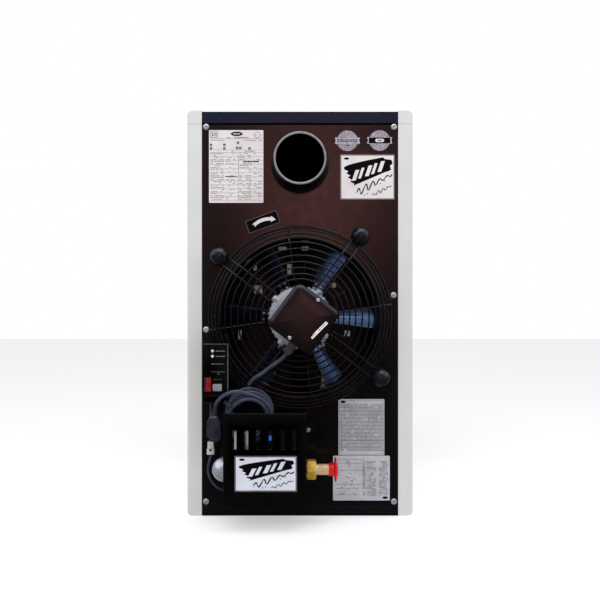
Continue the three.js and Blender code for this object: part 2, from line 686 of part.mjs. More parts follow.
// The thin lead runs from the control box to the back panel through an in-line connector.
const CONNECTOR = { x: [-177, -163], z: [127, 151], proud: [24, 36], bore: 2.5 };
const connectorAxis = [-170, proud(30)];
add('valve_lead', cordThrough([
  [-170, 229, 30],
  [-170, 205, 30],
  [-170, 180, 30],
  [-170, 155, 30],
  [-170, 138, 30],
  [-170.1, 125, 30],
  [-173.5, 112, 30],
  [-175.5, 100, 30],
  [-175.1, 92, 29.7],
  [-173.5, 85, 29],
  [-170.7, 77.6, 27.8],
  [-167, 71, 26],
  [-158, 60, 20],
  [-150, 53.5, 11],
  [-147.5, 51.5, 5],
  [-147, 51, 1],
], 4, 8, 26), 'cord');
add('lead_connector', standing(CONNECTOR.x, CONNECTOR.proud, CONNECTOR.z)
  .subtract(drum('Z', CONNECTOR.bore, 12, connectorAxis, [100, 200])), 'white');

export default heater;
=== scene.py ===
"""The looks of a gas-fired warm-air heater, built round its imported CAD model. Metres, +Z up.

The service side faces -Y. "Proud" is how far something stands out of the back panel towards -Y;
inside the cabinet it is negative.
"""

import json
import math
import random

import bmesh
import bpy
from mathutils import Matrix, Vector

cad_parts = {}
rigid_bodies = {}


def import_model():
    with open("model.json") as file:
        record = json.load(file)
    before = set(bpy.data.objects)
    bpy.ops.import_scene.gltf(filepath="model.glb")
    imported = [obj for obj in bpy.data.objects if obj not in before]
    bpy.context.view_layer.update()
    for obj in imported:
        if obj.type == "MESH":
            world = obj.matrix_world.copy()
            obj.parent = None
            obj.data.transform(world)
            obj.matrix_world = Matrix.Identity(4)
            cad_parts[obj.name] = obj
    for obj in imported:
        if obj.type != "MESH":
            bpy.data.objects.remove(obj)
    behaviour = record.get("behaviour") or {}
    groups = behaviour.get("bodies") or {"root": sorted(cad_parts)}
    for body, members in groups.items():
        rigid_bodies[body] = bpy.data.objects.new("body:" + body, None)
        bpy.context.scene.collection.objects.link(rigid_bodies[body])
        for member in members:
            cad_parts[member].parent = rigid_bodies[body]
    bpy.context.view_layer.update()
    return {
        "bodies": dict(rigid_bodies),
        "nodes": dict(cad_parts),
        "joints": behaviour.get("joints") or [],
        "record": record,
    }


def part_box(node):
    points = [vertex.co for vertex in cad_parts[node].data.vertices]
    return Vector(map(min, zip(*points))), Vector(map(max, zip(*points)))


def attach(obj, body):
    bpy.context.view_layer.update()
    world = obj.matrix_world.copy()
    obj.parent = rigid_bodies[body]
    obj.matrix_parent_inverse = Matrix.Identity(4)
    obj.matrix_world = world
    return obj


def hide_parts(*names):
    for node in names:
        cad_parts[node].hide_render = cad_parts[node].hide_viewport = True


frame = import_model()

BODY_OF = {n: body for body, nodes in frame["record"]["behaviour"]["bodies"].items() for n in nodes}
SLOT_OF = {part["node"]: part["material_slot"] for part in frame["record"]["subparts"]}
BACK_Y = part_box("back_panel")[0].y
MM = 0.001

# ---------------------------------------------------------------- places


def at(x, z, proud):
    """A point given in millimetres: across, up, and out of the back panel."""
    return Vector((x * MM, BACK_Y - proud * MM, z * MM))


def facing(u, v, w):
    """Outlines in (x, z), drawn out along proud."""
    return at(u, v, w)


def sideways(u, v, w):
    """Outlines in (proud, z), drawn out along x."""
    return at(w, v, u)


def upright(u, v, w):
    """Outlines in (x, proud), drawn out along z."""
    return at(u, w, v)


def spans(node):
    """How far a CAD node reaches across, up and proud: three (low, high) pairs in millimetres."""
    low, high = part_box(node)
    across, up = (low.x / MM, high.x / MM), (low.z / MM, high.z / MM)
    return across, up, ((BACK_Y - high.y) / MM, (BACK_Y - low.y) / MM)


def middles(pairs):
    """The middle of each (low, high) pair."""
    return [(low + high) / 2 for low, high in pairs]


def centre_of(node):
    """The middle of a CAD node as (x, z, proud), in millimetres."""
    return middles(spans(node))


def polar(radius, angle, centre=(0, 0)):
    """A point of an outline, by its distance and its angle in radians from a centre."""
    return Vector((centre[0] + radius * math.cos(angle), centre[1] + radius * math.sin(angle)))


def circle(sides):
    """The angles of a circle's points, in radians."""
    return [2 * math.pi * k / sides for k in range(sides)]


def shares(steps):
    """Even steps from 0 to 1."""
    return [k / steps for k in range(steps + 1)]


FAN = (0, centre_of("rotor_can")[1])
FLUE = (0, centre_of("flue_spigot")[1])


def round_fan(radius, degrees, proud, sideways_by=0.0):
    """A point round the fan's axis."""
    c, s = math.cos(math.radians(degrees)), math.sin(math.radians(degrees))
    return at(radius * c - sideways_by * s, FAN[1] + radius * s + sideways_by * c, proud)


# ---------------------------------------------------------------- materials


def tone(red, green, blue):
    """An sRGB colour, 0 to 255, as the linear colour that shaders take."""
    levels = [channel / 255 for channel in (red, green, blue)]
    return [v / 12.92 if v <= 0.04045 else ((v + 0.055) / 1.055) ** 2.4 for v in levels] + [1.0]


def feed(tree, node, inputs):
    """Sets a shader node's inputs; each is a linked output or a constant."""
    for key, value in inputs.items():
        if isinstance(value, bpy.types.NodeSocket):
            tree.links.new(value, node.inputs[key])
        else:
            node.inputs[key].default_value = value
    return node


def add_node(tree, kind, inputs, **settings):
    """A new shader node with its inputs fed and its settings made."""
    made = tree.nodes.new("ShaderNode" + kind)
    for key, value in settings.items():
        setattr(made, key, value)
    return feed(tree, made, inputs)


def noise(tree, source, scale, detail=3.0, stretch=None):
    """A noise value over the object, stretched along an axis where asked."""
    if stretch:
        source = add_node(tree, "Mapping", {"Scale": stretch, "Vector": source}).outputs["Vector"]
    return add_node(tree, "TexNoise", {"Scale": scale, "Detail": detail, "Vector": source}).outputs["Fac"]


def remap(tree, value, low, high, to_low, to_high):
    limits = {"From Min": low, "From Max": high, "To Min": to_low, "To Max": to_high}
    return add_node(tree, "MapRange", {**limits, "Value": value}).outputs["Result"]


def blend_colours(tree, factor, first, second):
    # In a Mix node, inputs 6 and 7 and output 2 are the colours.
    return add_node(tree, "Mix", {"Factor": factor, 6: first, 7: second}, data_type="RGBA").outputs[2]


def surface(name, tones, rough, metal=0.0, patch=14.0, grain=900.0, depth=0.02, stretch=None,
            wear_and_glint=None, specular=0.5, dust=0.0, glow=0.0):
    """A finish: two tones mottled together, uneven gloss, a fine relief, and paler edges, as rubbed wear and
    as painted edge highlights.

    patch and grain are the scales of the mottling and the relief, depth is the relief in millimetres.
    """
    made = bpy.data.materials.new(name)
    made.use_nodes = True
    tree = made.node_tree
    shader = tree.nodes["Principled BSDF"]
    coords = add_node(tree, "TexCoord", {}).outputs["Object"]
    broad = remap(tree, noise(tree, coords, patch, 5.0, stretch), 0.3, 0.7, 0.0, 1.0)
    colour = blend_colours(tree, broad, tone(*tones[0]), tone(*tones[1]))
    if dust:
        # The brightest spots of a fine noise are specks.
        specks = remap(tree, noise(tree, coords, 420.0, 2.0), 0.66, 0.74, 0.0, dust)
        colour = blend_colours(tree, specks, colour, tone(150, 145, 138))
    if wear_and_glint:
        # Pointed outer edges are lightened: rubbed wear on the louvres, painted glints on the brass and the
        # fan blades, and both on the black panels. Outer edges are more pointed than flat faces, whose
        # Pointiness is 0.5.
        edge = add_node(tree, "NewGeometry", {}).outputs["Pointiness"]
        colour = blend_colours(tree, remap(tree, edge, 0.52, 0.6, 0.0, 0.8), colour, tone(*wear_and_glint))
    if glow:
        feed(tree, shader, {"Emission Color": colour, "Emission Strength": glow})
    uneven = remap(tree, noise(tree, coords, patch * 4, 4.0, stretch), 0.3, 0.7, *rough)
    relief = {"Strength": 0.6, "Distance": depth * MM, "Height": noise(tree, coords, grain, 2.0, stretch)}
    bump = add_node(tree, "Bump", relief).outputs["Normal"]
    feed(tree, shader, {"Base Color": colour, "Metallic": metal, "Specular IOR Level": specular,
                        "Roughness": uneven, "Normal": bump})
    return made


ALONG_Z = (1.0, 1.0, 0.06)

# Two tones, the least and most roughness, and what differs from surface()'s usual finish.
FINISHES = {
    "side_shell": ((214, 215, 211), (222, 222, 218), (0.36, 0.5), dict(grain=1100, depth=0.03)),
    "top_sheet": ((18, 23, 39), (31, 38, 56), (0.2, 0.3),
                  dict(grain=700, depth=0.01, patch=5, specular=0.15)),
    # The black panels' pale edges are part rubbed wear, part painted edge highlight.
    "panel_black": ((0.6, 0.6, 0.7), (2, 1.6, 1.8), (0.15, 0.21),
                    dict(grain=800, depth=0.004, dust=0.03, wear_and_glint=(30, 28, 30), specular=0.3)),
    "louvre_black": ((20, 20, 22), (30, 30, 33), (0.4, 0.52), dict(grain=1300, wear_and_glint=(60, 60, 62))),
    "guard_wire": ((4, 4, 6), (9, 9, 12), (0.2, 0.3), dict(grain=1500, depth=0.02)),
    # The rubber's black is lifted slightly toward blue-grey, part its own colour and part painted reflection
    # of light on the mounts' tops; its specks are dust.
    "rubber": ((13, 13, 19), (28, 27, 36), (0.2, 0.3), dict(grain=1400, depth=0.03, dust=0.12)),
    "box_plastic": ((16, 10, 13), (28, 17, 18), (0.24, 0.32), dict(grain=1500, depth=0.012)),
    "gland_plastic": ((38, 39, 44), (58, 59, 66), (0.3, 0.44), dict(grain=1300, depth=0.03)),
    # The blades' black paint is tinted steel blue as painted reflection of a pale sky, and their pale edges
    # are painted highlights.
    "fan_blade": ((58, 78, 114), (104, 122, 150), (0.3, 0.42),
                  dict(metal=1.0, patch=30, grain=500, depth=0.01, wear_and_glint=(150, 160, 176))),
    "cast_metal": ((178, 184, 192), (214, 218, 222), (0.36, 0.5),
                   dict(metal=0.55, patch=60, grain=1600, depth=0.03)),
    "plated_steel": ((196, 200, 206), (232, 234, 237), (0.22, 0.36),
                     dict(metal=0.6, patch=80, grain=900, depth=0.006)),
    "exchanger_steel": ((16, 14, 14), (40, 35, 33), (0.4, 0.62),
                        dict(metal=0.5, patch=22, grain=300, depth=0.04, stretch=ALONG_Z)),
    # The brasses are pale and half diffuse to look bright with no reflection to catch: painted sheen over
    # their own yellow; their near-white edges are painted glints.
    "brass": ((222, 164, 44), (240, 192, 74), (0.24, 0.36),
              dict(metal=0.42, patch=60, grain=1800, depth=0.006, wear_and_glint=(250, 226, 170))),
    "pale_brass": ((236, 204, 158), (248, 226, 190), (0.2, 0.3),
                   dict(metal=0.3, patch=60, grain=1800, depth=0.006, wear_and_glint=(255, 244, 220))),
    "red_cap": ((216, 1, 5), (236, 5, 9), (0.26, 0.38), dict(grain=1200, depth=0.02, patch=40)),
    # The rocker's red is darkened, part as painted shade from the left side panel's edge beside it.
    "red_rocker": ((92, 4, 8), (134, 8, 14), (0.2, 0.3), dict(patch=90, glow=0.16)),
    "white_plastic": ((196, 196, 196), (222, 222, 220), (0.3, 0.42), dict(patch=50, grain=1500)),
    "lens": ((190, 194, 200), (226, 228, 230), (0.1, 0.2), dict(patch=120, glow=0.1)),
    "ceramic": ((222, 218, 206), (236, 233, 224), (0.3, 0.5), dict(patch=60)),
    "flue_black": ((3, 3, 3), (7, 7, 7), (0.4, 0.55), dict(grain=1000, depth=0.03)),
    # The cord sheath's near-black is lifted to blue-grey: part its own colour, part painted sheen from light
    # above.
    "cord_pvc": ((48, 53, 67), (70, 77, 94), (0.3, 0.42), dict(patch=50, grain=1600, depth=0.03)),
    "plug_pvc": ((24, 27, 36), (40, 44, 56), (0.3, 0.4), dict(patch=50, grain=1600, depth=0.03)),
    "label_paper": ((222, 213, 212), (236, 230, 229), (0.4, 0.55), dict(patch=30, grain=2200, depth=0.01)),
    "label_cool_paper": ((206, 208, 221), (222, 224, 236), (0.4, 0.55),
                         dict(patch=30, grain=2200, depth=0.01)),
    "label_grey_paper": ((176, 175, 181), (196, 194, 200), (0.4, 0.55),
                         dict(patch=40, grain=2200, depth=0.01)),
    "label_film": ((84, 78, 84), (116, 108, 114), (0.2, 0.3), dict(patch=30, grain=1800)),
    "label_ink": ((3, 3, 5), (10, 9, 12), (0.4, 0.5), dict(patch=300, grain=2200, specular=0.12)),
    "label_grey_ink": ((96, 92, 98), (122, 118, 124), (0.4, 0.5), dict(patch=300, grain=2200)),
    "notice_ink": ((58, 57, 66), (88, 86, 96), (0.4, 0.5), dict(patch=300, grain=2200)),
    "badge_silver": ((150, 144, 156), (206, 204, 214), (0.3, 0.45), dict(metal=0.2, patch=240, grain=1500)),
    "bare_rim": ((140, 140, 141), (172, 172, 171), (0.28, 0.4), dict(metal=0.4, patch=90, grain=1400)),
    # bright_clip also dresses the clips on the exchanger's face, which are painted glints.
    "bright_clip": ((204, 204, 206), (238, 238, 238), (0.3, 0.42), dict(metal=0.15, patch=90, grain=900)),
    "legend_grey": ((92, 94, 98), (120, 122, 126), (0.4, 0.5), dict(patch=300, grain=2000)),
    "legend_green": ((34, 66, 48), (50, 88, 62), (0.4, 0.5), dict(patch=300, grain=2000)),
    "blue_lamp": ((10, 64, 150), (34, 112, 200), (0.15, 0.25), dict(patch=400, glow=0.6)),
    "dark_metal": ((60, 58, 58), (92, 88, 86), (0.3, 0.45), dict(metal=0.85, patch=80, grain=900)),
    "button_grey": ((128, 124, 126), (158, 154, 155), (0.3, 0.42), dict(patch=50, grain=1500)),
}
FINISH = {name: surface(name, look[:2], look[2], **look[3]) for name, look in FINISHES.items()}

# ---------------------------------------------------------------- mesh building


def fillet(corners, steps=6):
    """An outline's points; corners are (u, v, radius)."""
    points = []
    for i, (u, v, radius) in enumerate(corners):
        here = Vector((u, v))
        if radius == 0:
            points.append(here)
            continue
        before = (Vector(corners[i - 1][:2]) - here).normalized()
        after = (Vector(corners[(i + 1) % len(corners)][:2]) - here).normalized()
        half = before.angle(after) / 2
        centre = here + (before + after).normalized() * radius / math.sin(half)
        reach = radius / math.tan(half)
        start, end = here + before * reach - centre, here + after * reach - centre
        first = math.atan2(start.y, start.x)
        turn = (math.atan2(end.y, end.x) - first + math.pi) % (2 * math.pi) - math.pi
        points += [centre + polar(radius, first + turn * share) for share in shares(steps)]
    return points


def rectangle(u, v, radius=0.0, steps=6):
    corners = ((u[0], v[0]), (u[1], v[0]), (u[1], v[1]), (u[0], v[1]))
    return fillet([(*corner, radius) for corner in corners], steps)


def ring_of(bm, points):
    return [bm.verts.new(point) for point in points]


def skin(bm, rings, material=0, closed=False, capped=False):
    """Quads between neighbouring rings; a ring of one point is the tip of a fan."""
    pairs = list(zip(rings, rings[1:])) + ([(rings[-1], rings[0])] if closed else [])
    for a, b in pairs:
        for i in range(max(len(a), len(b))):
            quad = [a[i % len(a)], a[(i + 1) % len(a)], b[(i + 1) % len(b)], b[i % len(b)]]
            corners = [v for k, v in enumerate(quad) if v not in quad[:k]]
            bm.faces.new(corners).material_index = material
    if capped:
        for cap in (rings[0][::-1], rings[-1]):
            bm.faces.new(cap).material_index = material


def turned_rings(bm, profile, place, centre, sides):
    rings = []
    for radius, along in profile:
        points = [polar(radius, a, centre) for a in (circle(sides) if radius > 0 else [0])]
        rings.append(ring_of(bm, [place(p.x, p.y, along) for p in points]))
    return rings


def turned(bm, profile, place, centre, sides, material=0):
    """A solid of revolution: profile is (radius, along), and its ends close flat onto the axis."""
    first, last = profile[0], profile[-1]
    profile = [(0, first[1])] * (first[0] > 0) + profile + [(0, last[1])] * (last[0] > 0)
    skin(bm, turned_rings(bm, profile, place, centre, sides), material)


def hoop(bm, profile, place, centre, sides, material=0):
    """A ring turned from a section that closes on itself."""
    skin(bm, turned_rings(bm, profile, place, centre, sides), material, closed=True)


def prism(bm, outline, place, span, material=0):
    """An outline in two of place's directions, drawn out over a span of the third."""
    rings = [ring_of(bm, [place(p[0], p[1], w) for p in outline]) for w in span]
    skin(bm, rings, material, capped=True)


def bar(bm, x, z, proud, material=0, place=facing):
    prism(bm, rectangle(x, z), place, proud, material)


def tube(bm, points, radii, sides, material=0):
    """A round bar through points, with a radius at each."""
    rings, side = [], None
    for i, point in enumerate(points):
        along = (points[min(i + 1, len(points) - 1)] - points[max(i - 1, 0)]).normalized()
        if side is None:
            side = along.orthogonal().normalized()
        side = (side - along * side.dot(along)).normalized()
        up = along.cross(side)
        reach = radii[i] * MM
        around = [math.cos(a) * side + math.sin(a) * up for a in circle(sides)]
        rings.append(ring_of(bm, [point + reach * way for way in around]))
    skin(bm, rings, material, capped=True)


def screw_head(bm, place, centre, radius, low, high, material=0, *, turn):
    """A pan head with a cross pressed into it."""
    steps, sides = 14, 48
    slot_half, slot_reach, pressed = 0.14 * radius, 0.62 * radius, low + 0.45 * (high - low)
    rings = [ring_of(bm, [place(*centre, low)])]
    for k in range(steps, 0, -1):
        r = radius * k / steps
        ring = []
        for angle in circle(sides):
            u, v = r * math.cos(angle), r * math.sin(angle)
            height = low + (high - low) * math.sqrt(max(0.0, 1 - (r / radius) ** 3))
            for way in (turn, turn + math.pi / 2):
                if abs(u * math.sin(way) - v * math.cos(way)) < slot_half and r < slot_reach:
                    height = pressed
            ring.append(place(centre[0] + u, centre[1] + v, height))
        rings.append(ring_of(bm, ring))
    rings.append(ring_of(bm, [place(*centre, pressed)]))
    skin(bm, rings, material)


def settle(piece, body, slot, stands_for=()):
    """Gives a piece its body, and hides the CAD nodes that it replaces."""
    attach(piece, body)
    if stands_for:
        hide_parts(*stands_for)
    return piece


def shade(mesh, sharp):
    for polygon in mesh.polygons:
        polygon.use_smooth = True
    mesh.set_sharp_from_angle(angle=math.radians(sharp))


def soften(piece, width, segments):
    """Rounds a piece's sharp edges; width is in millimetres."""
    modifier = piece.modifiers.new("edges", "BEVEL")
    modifier.width = width * MM
    modifier.segments = segments
    modifier.limit_method = "ANGLE"
    modifier.angle_limit = math.radians(32)
    modifier.harden_normals = True


def made(name, bm, finishes, node=None, slot=None, bevel=0.0, sharp=38, segments=2):
    """Turns a bmesh into a piece. One that stands for a CAD node has that node's body, and the node is
    hidden.

    bevel is a width in millimetres. Edges stay sharp above the angle called sharp, in degrees.
    """
    bmesh.ops.recalc_face_normals(bm, faces=bm.faces)
    mesh = bpy.data.meshes.new(name)
    bm.to_mesh(mesh)
    bm.free()
    shade(mesh, sharp)
    piece = bpy.data.objects.new(name, mesh)
    bpy.context.scene.collection.objects.link(piece)
    for finish in finishes:
        mesh.materials.append(FINISH[finish])
    if bevel:
        soften(piece, bevel, segments)
    if node:
        return settle(piece, BODY_OF[node], slot or SLOT_OF[node], (node,))
    return settle(piece, "cabinet", slot or finishes[0])


def stand_in(node, bm, *finishes, **options):
    """A piece that replaces one CAD node."""
    return made(f"{node}_fine", bm, finishes, node, **options)


def refined(node, bevel, segments=2, move=None):
    """A CAD node's own shape with its flat faces whole, its edges rounded and its curves smooth."""
    bm = bmesh.new()
    bm.from_mesh(frame["nodes"][node].data)
    bmesh.ops.remove_doubles(bm, verts=bm.verts, dist=1e-6)
    bmesh.ops.dissolve_limit(bm, angle_limit=math.radians(0.5), verts=bm.verts, edges=bm.edges)
    if move:
        for vertex in bm.verts:
            vertex.co = move(vertex.co)
    return stand_in(node, bm, SLOT_OF[node], bevel=bevel, segments=segments)


# ---------------------------------------------------------------- camera, light and floor

scene = bpy.context.scene
scene.view_settings.view_transform = "Standard"

CAMERA_AWAY, CAMERA_HEIGHT = 1.35, 0.4206
camera = bpy.data.objects.new("camera", bpy.data.cameras.new("camera"))
camera.data.lens = 41.54
camera.data.sensor_width = 36.0
camera.location = (0, BACK_Y - CAMERA_AWAY, CAMERA_HEIGHT)
camera.rotation_euler = (math.pi / 2, 0, 0)
scene.collection.objects.link(camera)
scene.camera = camera


def softbox(name, place, target, size, watts, colour, glossy=True):
    lamp = bpy.data.lights.new(name, "AREA")
    lamp.shape = "RECTANGLE"
    lamp.size, lamp.size_y = size
    lamp.energy = watts
    lamp.color = colour
    holder = bpy.data.objects.new(name, lamp)
    holder.location = place
    holder.rotation_euler = (Vector(target) - Vector(place)).to_track_quat("-Z", "Y").to_euler()
    holder.visible_glossy = glossy
    scene.collection.objects.link(holder)


softbox("key", (-0.5, -1.9, 2.1), (0, 0, 0.4), (1.2, 1.2), 12.5, (1.0, 0.99, 0.97), glossy=False)
softbox("overhead", (0.1, -0.75, 2.0), (0, -0.1, 0.4), (1.6, 0.5), 9, (0.82, 0.88, 1.0))
softbox("side_strip", (1.7, -0.9, 0.7), (0, -0.1, 0.4), (0.3, 1.0), 1.5, (0.85, 0.9, 1.0))


def glow(tree, direction, centre, reach):
    """1 in one direction of the room, falling to 0 at reach from it, each way."""
    scale, shift = [1 / r for r in reach], [-c / r for c, r in zip(centre, reach)]
    mapped = add_node(tree, "Mapping", {"Scale": scale, "Location": shift, "Vector": direction})
    ball = add_node(tree, "TexGradient", {"Vector": mapped.outputs["Vector"]}, gradient_type="SPHERICAL")
    return ball.outputs["Fac"]


def studio_world():
    """White in view, soft white light, and a dark room with a pale ceiling and a warm wall for gloss."""
    world = bpy.data.worlds.new("studio")
    scene.world = world
    world.use_nodes = True
    world.cycles.sampling_method = "NONE"
    tree = world.node_tree
    rays = add_node(tree, "LightPath", {})
    direction = add_node(tree, "TexCoord", {}).outputs["Generated"]
    toward = add_node(tree, "SeparateXYZ", {"Vector": direction})
    ceiling = add_node(tree, "Math", {0: remap(tree, toward.outputs["Z"], 0.12, 0.42, 0.0, 1.0),
                                      1: remap(tree, toward.outputs["Y"], -0.84, -0.62, 0.0, 1.0)},
                       operation="MULTIPLY")
    dark, pale, white = (0.004, 0.004, 0.006, 1), (0.95, 1.05, 1.25, 1), (1, 1, 1, 1)
    room = blend_colours(tree, ceiling.outputs[0], dark, pale)
    # Two warm patches of wall, each as centre, reach and colour.
    for centre, reach, warm in (((0.0, -0.98, 0.2), (0.6, 2.0, 0.23), (0.24, 0.12, 0.115, 1)),
                                ((0.02, -0.98, 0.15), (0.13, 2.0, 0.19), (4.3, 1.65, 1.55, 1))):
        room = blend_colours(tree, glow(tree, direction, centre, reach), room, warm)
    lit = blend_colours(tree, rays.outputs["Is Glossy Ray"], (0.52, 0.52, 0.53, 1), room)
    seen = blend_colours(tree, rays.outputs["Is Camera Ray"], lit, white)
    feed(tree, tree.nodes["Background"], {"Color": seen})


def studio_floor():
    """A plain pale floor, as large as the room needs."""
    bm = bmesh.new()
    reach = 6.0
    corners = ((-reach, -reach), (reach, -reach), (reach, reach), (-reach, reach))
    bm.faces.new(ring_of(bm, [Vector((x, y, -0.0005)) for x, y in corners]))
    mesh = bpy.data.meshes.new("floor")
    bm.to_mesh(mesh)
    bm.free()
    floor = bpy.data.objects.new("floor", mesh)
    floor.visible_glossy = False
    scene.collection.objects.link(floor)
    pale = bpy.data.materials.new("pale_floor")
    pale.use_nodes = True
    tree = pale.node_tree
    coords = add_node(tree, "TexCoord", {}).outputs["Object"]
    mottle = blend_colours(tree, noise(tree, coords, 6.0), (0.9, 0.9, 0.9, 1), (0.94, 0.94, 0.94, 1))
    feed(tree, tree.nodes["Principled BSDF"], {
        "Base Color": mottle, "Roughness": 0.9, "Specular IOR Level": 0.0,
        "Emission Color": (1, 1, 1, 1), "Emission Strength": 0.4,
    })
    mesh.materials.append(pale)


studio_world()
studio_floor()

# ---------------------------------------------------------------- cords

CORD = 7
LEAD = 4
# The coil hangs with its front turns lower than its back ones, by lean for each millimetre forward.
COIL = {"x": -93.5, "z": 213.4, "start": -90, "turning": 1957.5, "step": 22.5, "lean": 0.6}
# Where the turns lie, as (radius, proud).
COIL_PLACES = [(35, 60.5), (42, 60.5), (42, 69), (35, 69), (35, 77.5), (42, 77.5)]
# How many degrees into its turn each one starts to move to the next place.
COIL_SHIFTS = [355, 320, 285, 250, 215]
SHIFT_LENGTH = 85
ENTRY = {"length": 55, "radius": 41, "proud": 53}

# Routes as (x, z, proud), in millimetres.
MAINS_START = [(-120, 150, 14.3), (-120, 150.1, 19), (-120, 150.5, 24), (-119.7, 151.4, 28.6),
               (-119, 153, 33), (-117.3, 155.1, 37.1), (-115, 157.5, 41), (-108, 163, 47.5),
               (-100, 168.5, 51.5)]
MAINS_END = [(-97, 248.4, 77.6), (-108, 251.8, 77.8), (-119, 252.4, 78.4), (-129.5, 250.2, 79.2),
             (-139.5, 245.4, 79.5), (-147.6, 238.6, 79.5), (-153, 231.8, 79), (-154.9, 227.2, 78.6),
             (-155.6, 222.5, 78.5)]
MOTOR_CABLE = [(-27.2, 319.7, 76), (-31.2, 314.5, 75.8), (-36.1, 310.4, 75.1), (-41.5, 306.5, 74),
               (-48.8, 301.2, 72.7), (-56, 296, 71.5), (-63, 290.4, 70.6), (-70, 285, 70),
               (-77.2, 280.6, 69.9), (-83.5, 276.5, 69), (-91, 269, 64.5), (-95.3, 260, 54),
               (-94.5, 248, 45.5), (-85, 233, 33), (-77.5, 223, 21), (-74.5, 219.5, 10), (-74, 219, 1.2)]
VALVE_LEAD = [(-170, 229, 30), (-170, 205, 30), (-170, 180, 30), (-170, 155, 30), (-170, 138, 30),
              (-170.1, 125, 30), (-173.5, 112, 30), (-175.5, 100, 30), (-175.1, 92, 29.7), (-173.5, 85, 29),
              (-170.7, 77.6, 27.8), (-167, 71, 26), (-158, 60, 20), (-150, 53.5, 11), (-147.5, 51.5, 5),
              (-147, 51, 1)]


def eased(share):
    share = min(max(share, 0.0), 1.0)
    return share * share * (3 - 2 * share)


def coil_point(turned_by):
    """A point of the coil after that many degrees from its lowest point."""
    place = Vector(COIL_PLACES[0])
    for turn, shift in enumerate(COIL_SHIFTS):
        share = eased((turned_by - 360 * turn - shift) / SHIFT_LENGTH)
        place += share * (Vector(COIL_PLACES[turn + 1]) - Vector(COIL_PLACES[turn]))
    still_out = 1 - eased(turned_by / ENTRY["length"])
    place += still_out * (Vector((ENTRY["radius"], ENTRY["proud"])) - Vector(COIL_PLACES[0]))
    angle = math.radians(COIL["start"] + turned_by)
    hang = COIL["lean"] * max(0.0, place.y - COIL_PLACES[0][1])
    return COIL["x"] + place.x * math.cos(angle), COIL["z"] + place.x * math.sin(angle) - hang, place.y


def curve_piece(name, finish):
    curve = bpy.data.curves.new(name, "CURVE")
    curve.dimensions = "3D"
    curve.use_fill_caps = True
    curve.bevel_resolution = 5
    curve.materials.append(FINISH[finish])
    piece = bpy.data.objects.new(name, curve)
    scene.collection.objects.link(piece)
    return piece


def cord(name, route, diameter):
    """A round cord on one smooth open spline through its route."""
    piece = curve_piece(name, "cord_pvc")
    piece.data.bevel_depth = diameter / 2 * MM
    piece.data.resolution_u = 6
    spline = piece.data.splines.new("BEZIER")
    spline.bezier_points.add(len(route) - 1)
    for point, (x, z, proud) in zip(spline.bezier_points, route):
        point.co = at(x, z, proud)
        point.handle_left_type = point.handle_right_type = "AUTO"
    return piece


coil_route = [coil_point(COIL["step"] * k) for k in range(round(COIL["turning"] / COIL["step"]) + 1)]
mains_lead = cord("mains_lead", MAINS_START + coil_route + MAINS_END, CORD)
settle(mains_lead, "cabinet", "cord_pvc", ("mains_lead_start", "mains_coil", "mains_lead_end"))
motor_cable = settle(cord("motor_cable_fine", MOTOR_CABLE, CORD), "cabinet", "cord_pvc", ("motor_cable",))
valve_lead = settle(cord("valve_lead_fine", VALVE_LEAD, LEAD), "cabinet", "cord_pvc", ("valve_lead",))


def mains_gland():
    """A ribbed nylon strain relief that tapers along the lead as it leaves the back panel."""
    x, z, _ = MAINS_START[0]
    bm = bmesh.new()
    profile = [(3.6, 0.3), (9, 0.3), (9, 2.6), (7.6, 3.2), (7.6, 5)]
    for k in range(4):
        outer, low = 6.9 - 0.45 * k, 5 + 2.25 * k
        profile += [(outer, low + 0.3), (outer - 0.2, low + 1.5)]
        profile += [(outer - 1.2, low + 1.7), (outer - 1.3, low + 2.2)]
    hoop(bm, profile + [(3.6, 14)], facing, (x, z), 40)
    return stand_in("mains_gland", bm, "gland_plastic", sharp=30)


def mains_plug():
    """A moulded angled plug: ribbed relief, body with a round face, and two pins towards the back panel."""
    bm = bmesh.new()
    start, end = at(-155.0, 226, 78.5), at(-158.2, 206, 78)
    steps = 36
    line = [start.lerp(end, share) for share in shares(steps)]
    ribs = [(0.45 if k % 6 < 3 else -0.35) * (k < steps - 3) for k in range(steps + 1)]
    radii = [3.7 + 2.2 * k / steps + rib for k, rib in enumerate(ribs)]
    tube(bm, line, radii, 24)
    outline = fillet([(-165, 209, 4), (-152, 209, 4), (-144, 196, 7), (-144, 166, 7), (-152, 161, 5),
                      (-163, 161, 5), (-171, 178, 8), (-171, 195, 8)])
    middle = Vector((-157.5, 185))
    skins = [(0.9, 66.2), (0.97, 67.4), (1.0, 70), (1.0, 82), (0.97, 86), (0.86, 88.8), (0.55, 89.7)]
    rings = []
    for share, proud in skins:
        points = [middle + (p - middle) * share for p in outline]
        rings.append(ring_of(bm, [at(p.x, p.y, proud) for p in points]))
    skin(bm, rings, capped=True)
    for k in range(7):
        z = 170 + 4.4 * k
        for x in (-171.0, -145.4):
            bar(bm, (x, x + 1.4), (z, z + 1.6), (71, 84))
    turned(bm, [(13.2, 89.4), (13.2, 89.9), (11.8, 90), (11.2, 89.6)], facing, (-157, 178), 48)
    for z in (168.5, 187.5):
        turned(bm, [(3.4, 66.5), (3.0, 65.6), (2.4, 65.2), (2.4, 48.2), (1.4, 47.0)], facing, (-157, z), 24,
               1)
    return stand_in("mains_plug", bm, "plug_pvc", "plated_steel", slot="cord_pvc", bevel=0.25, sharp=42)


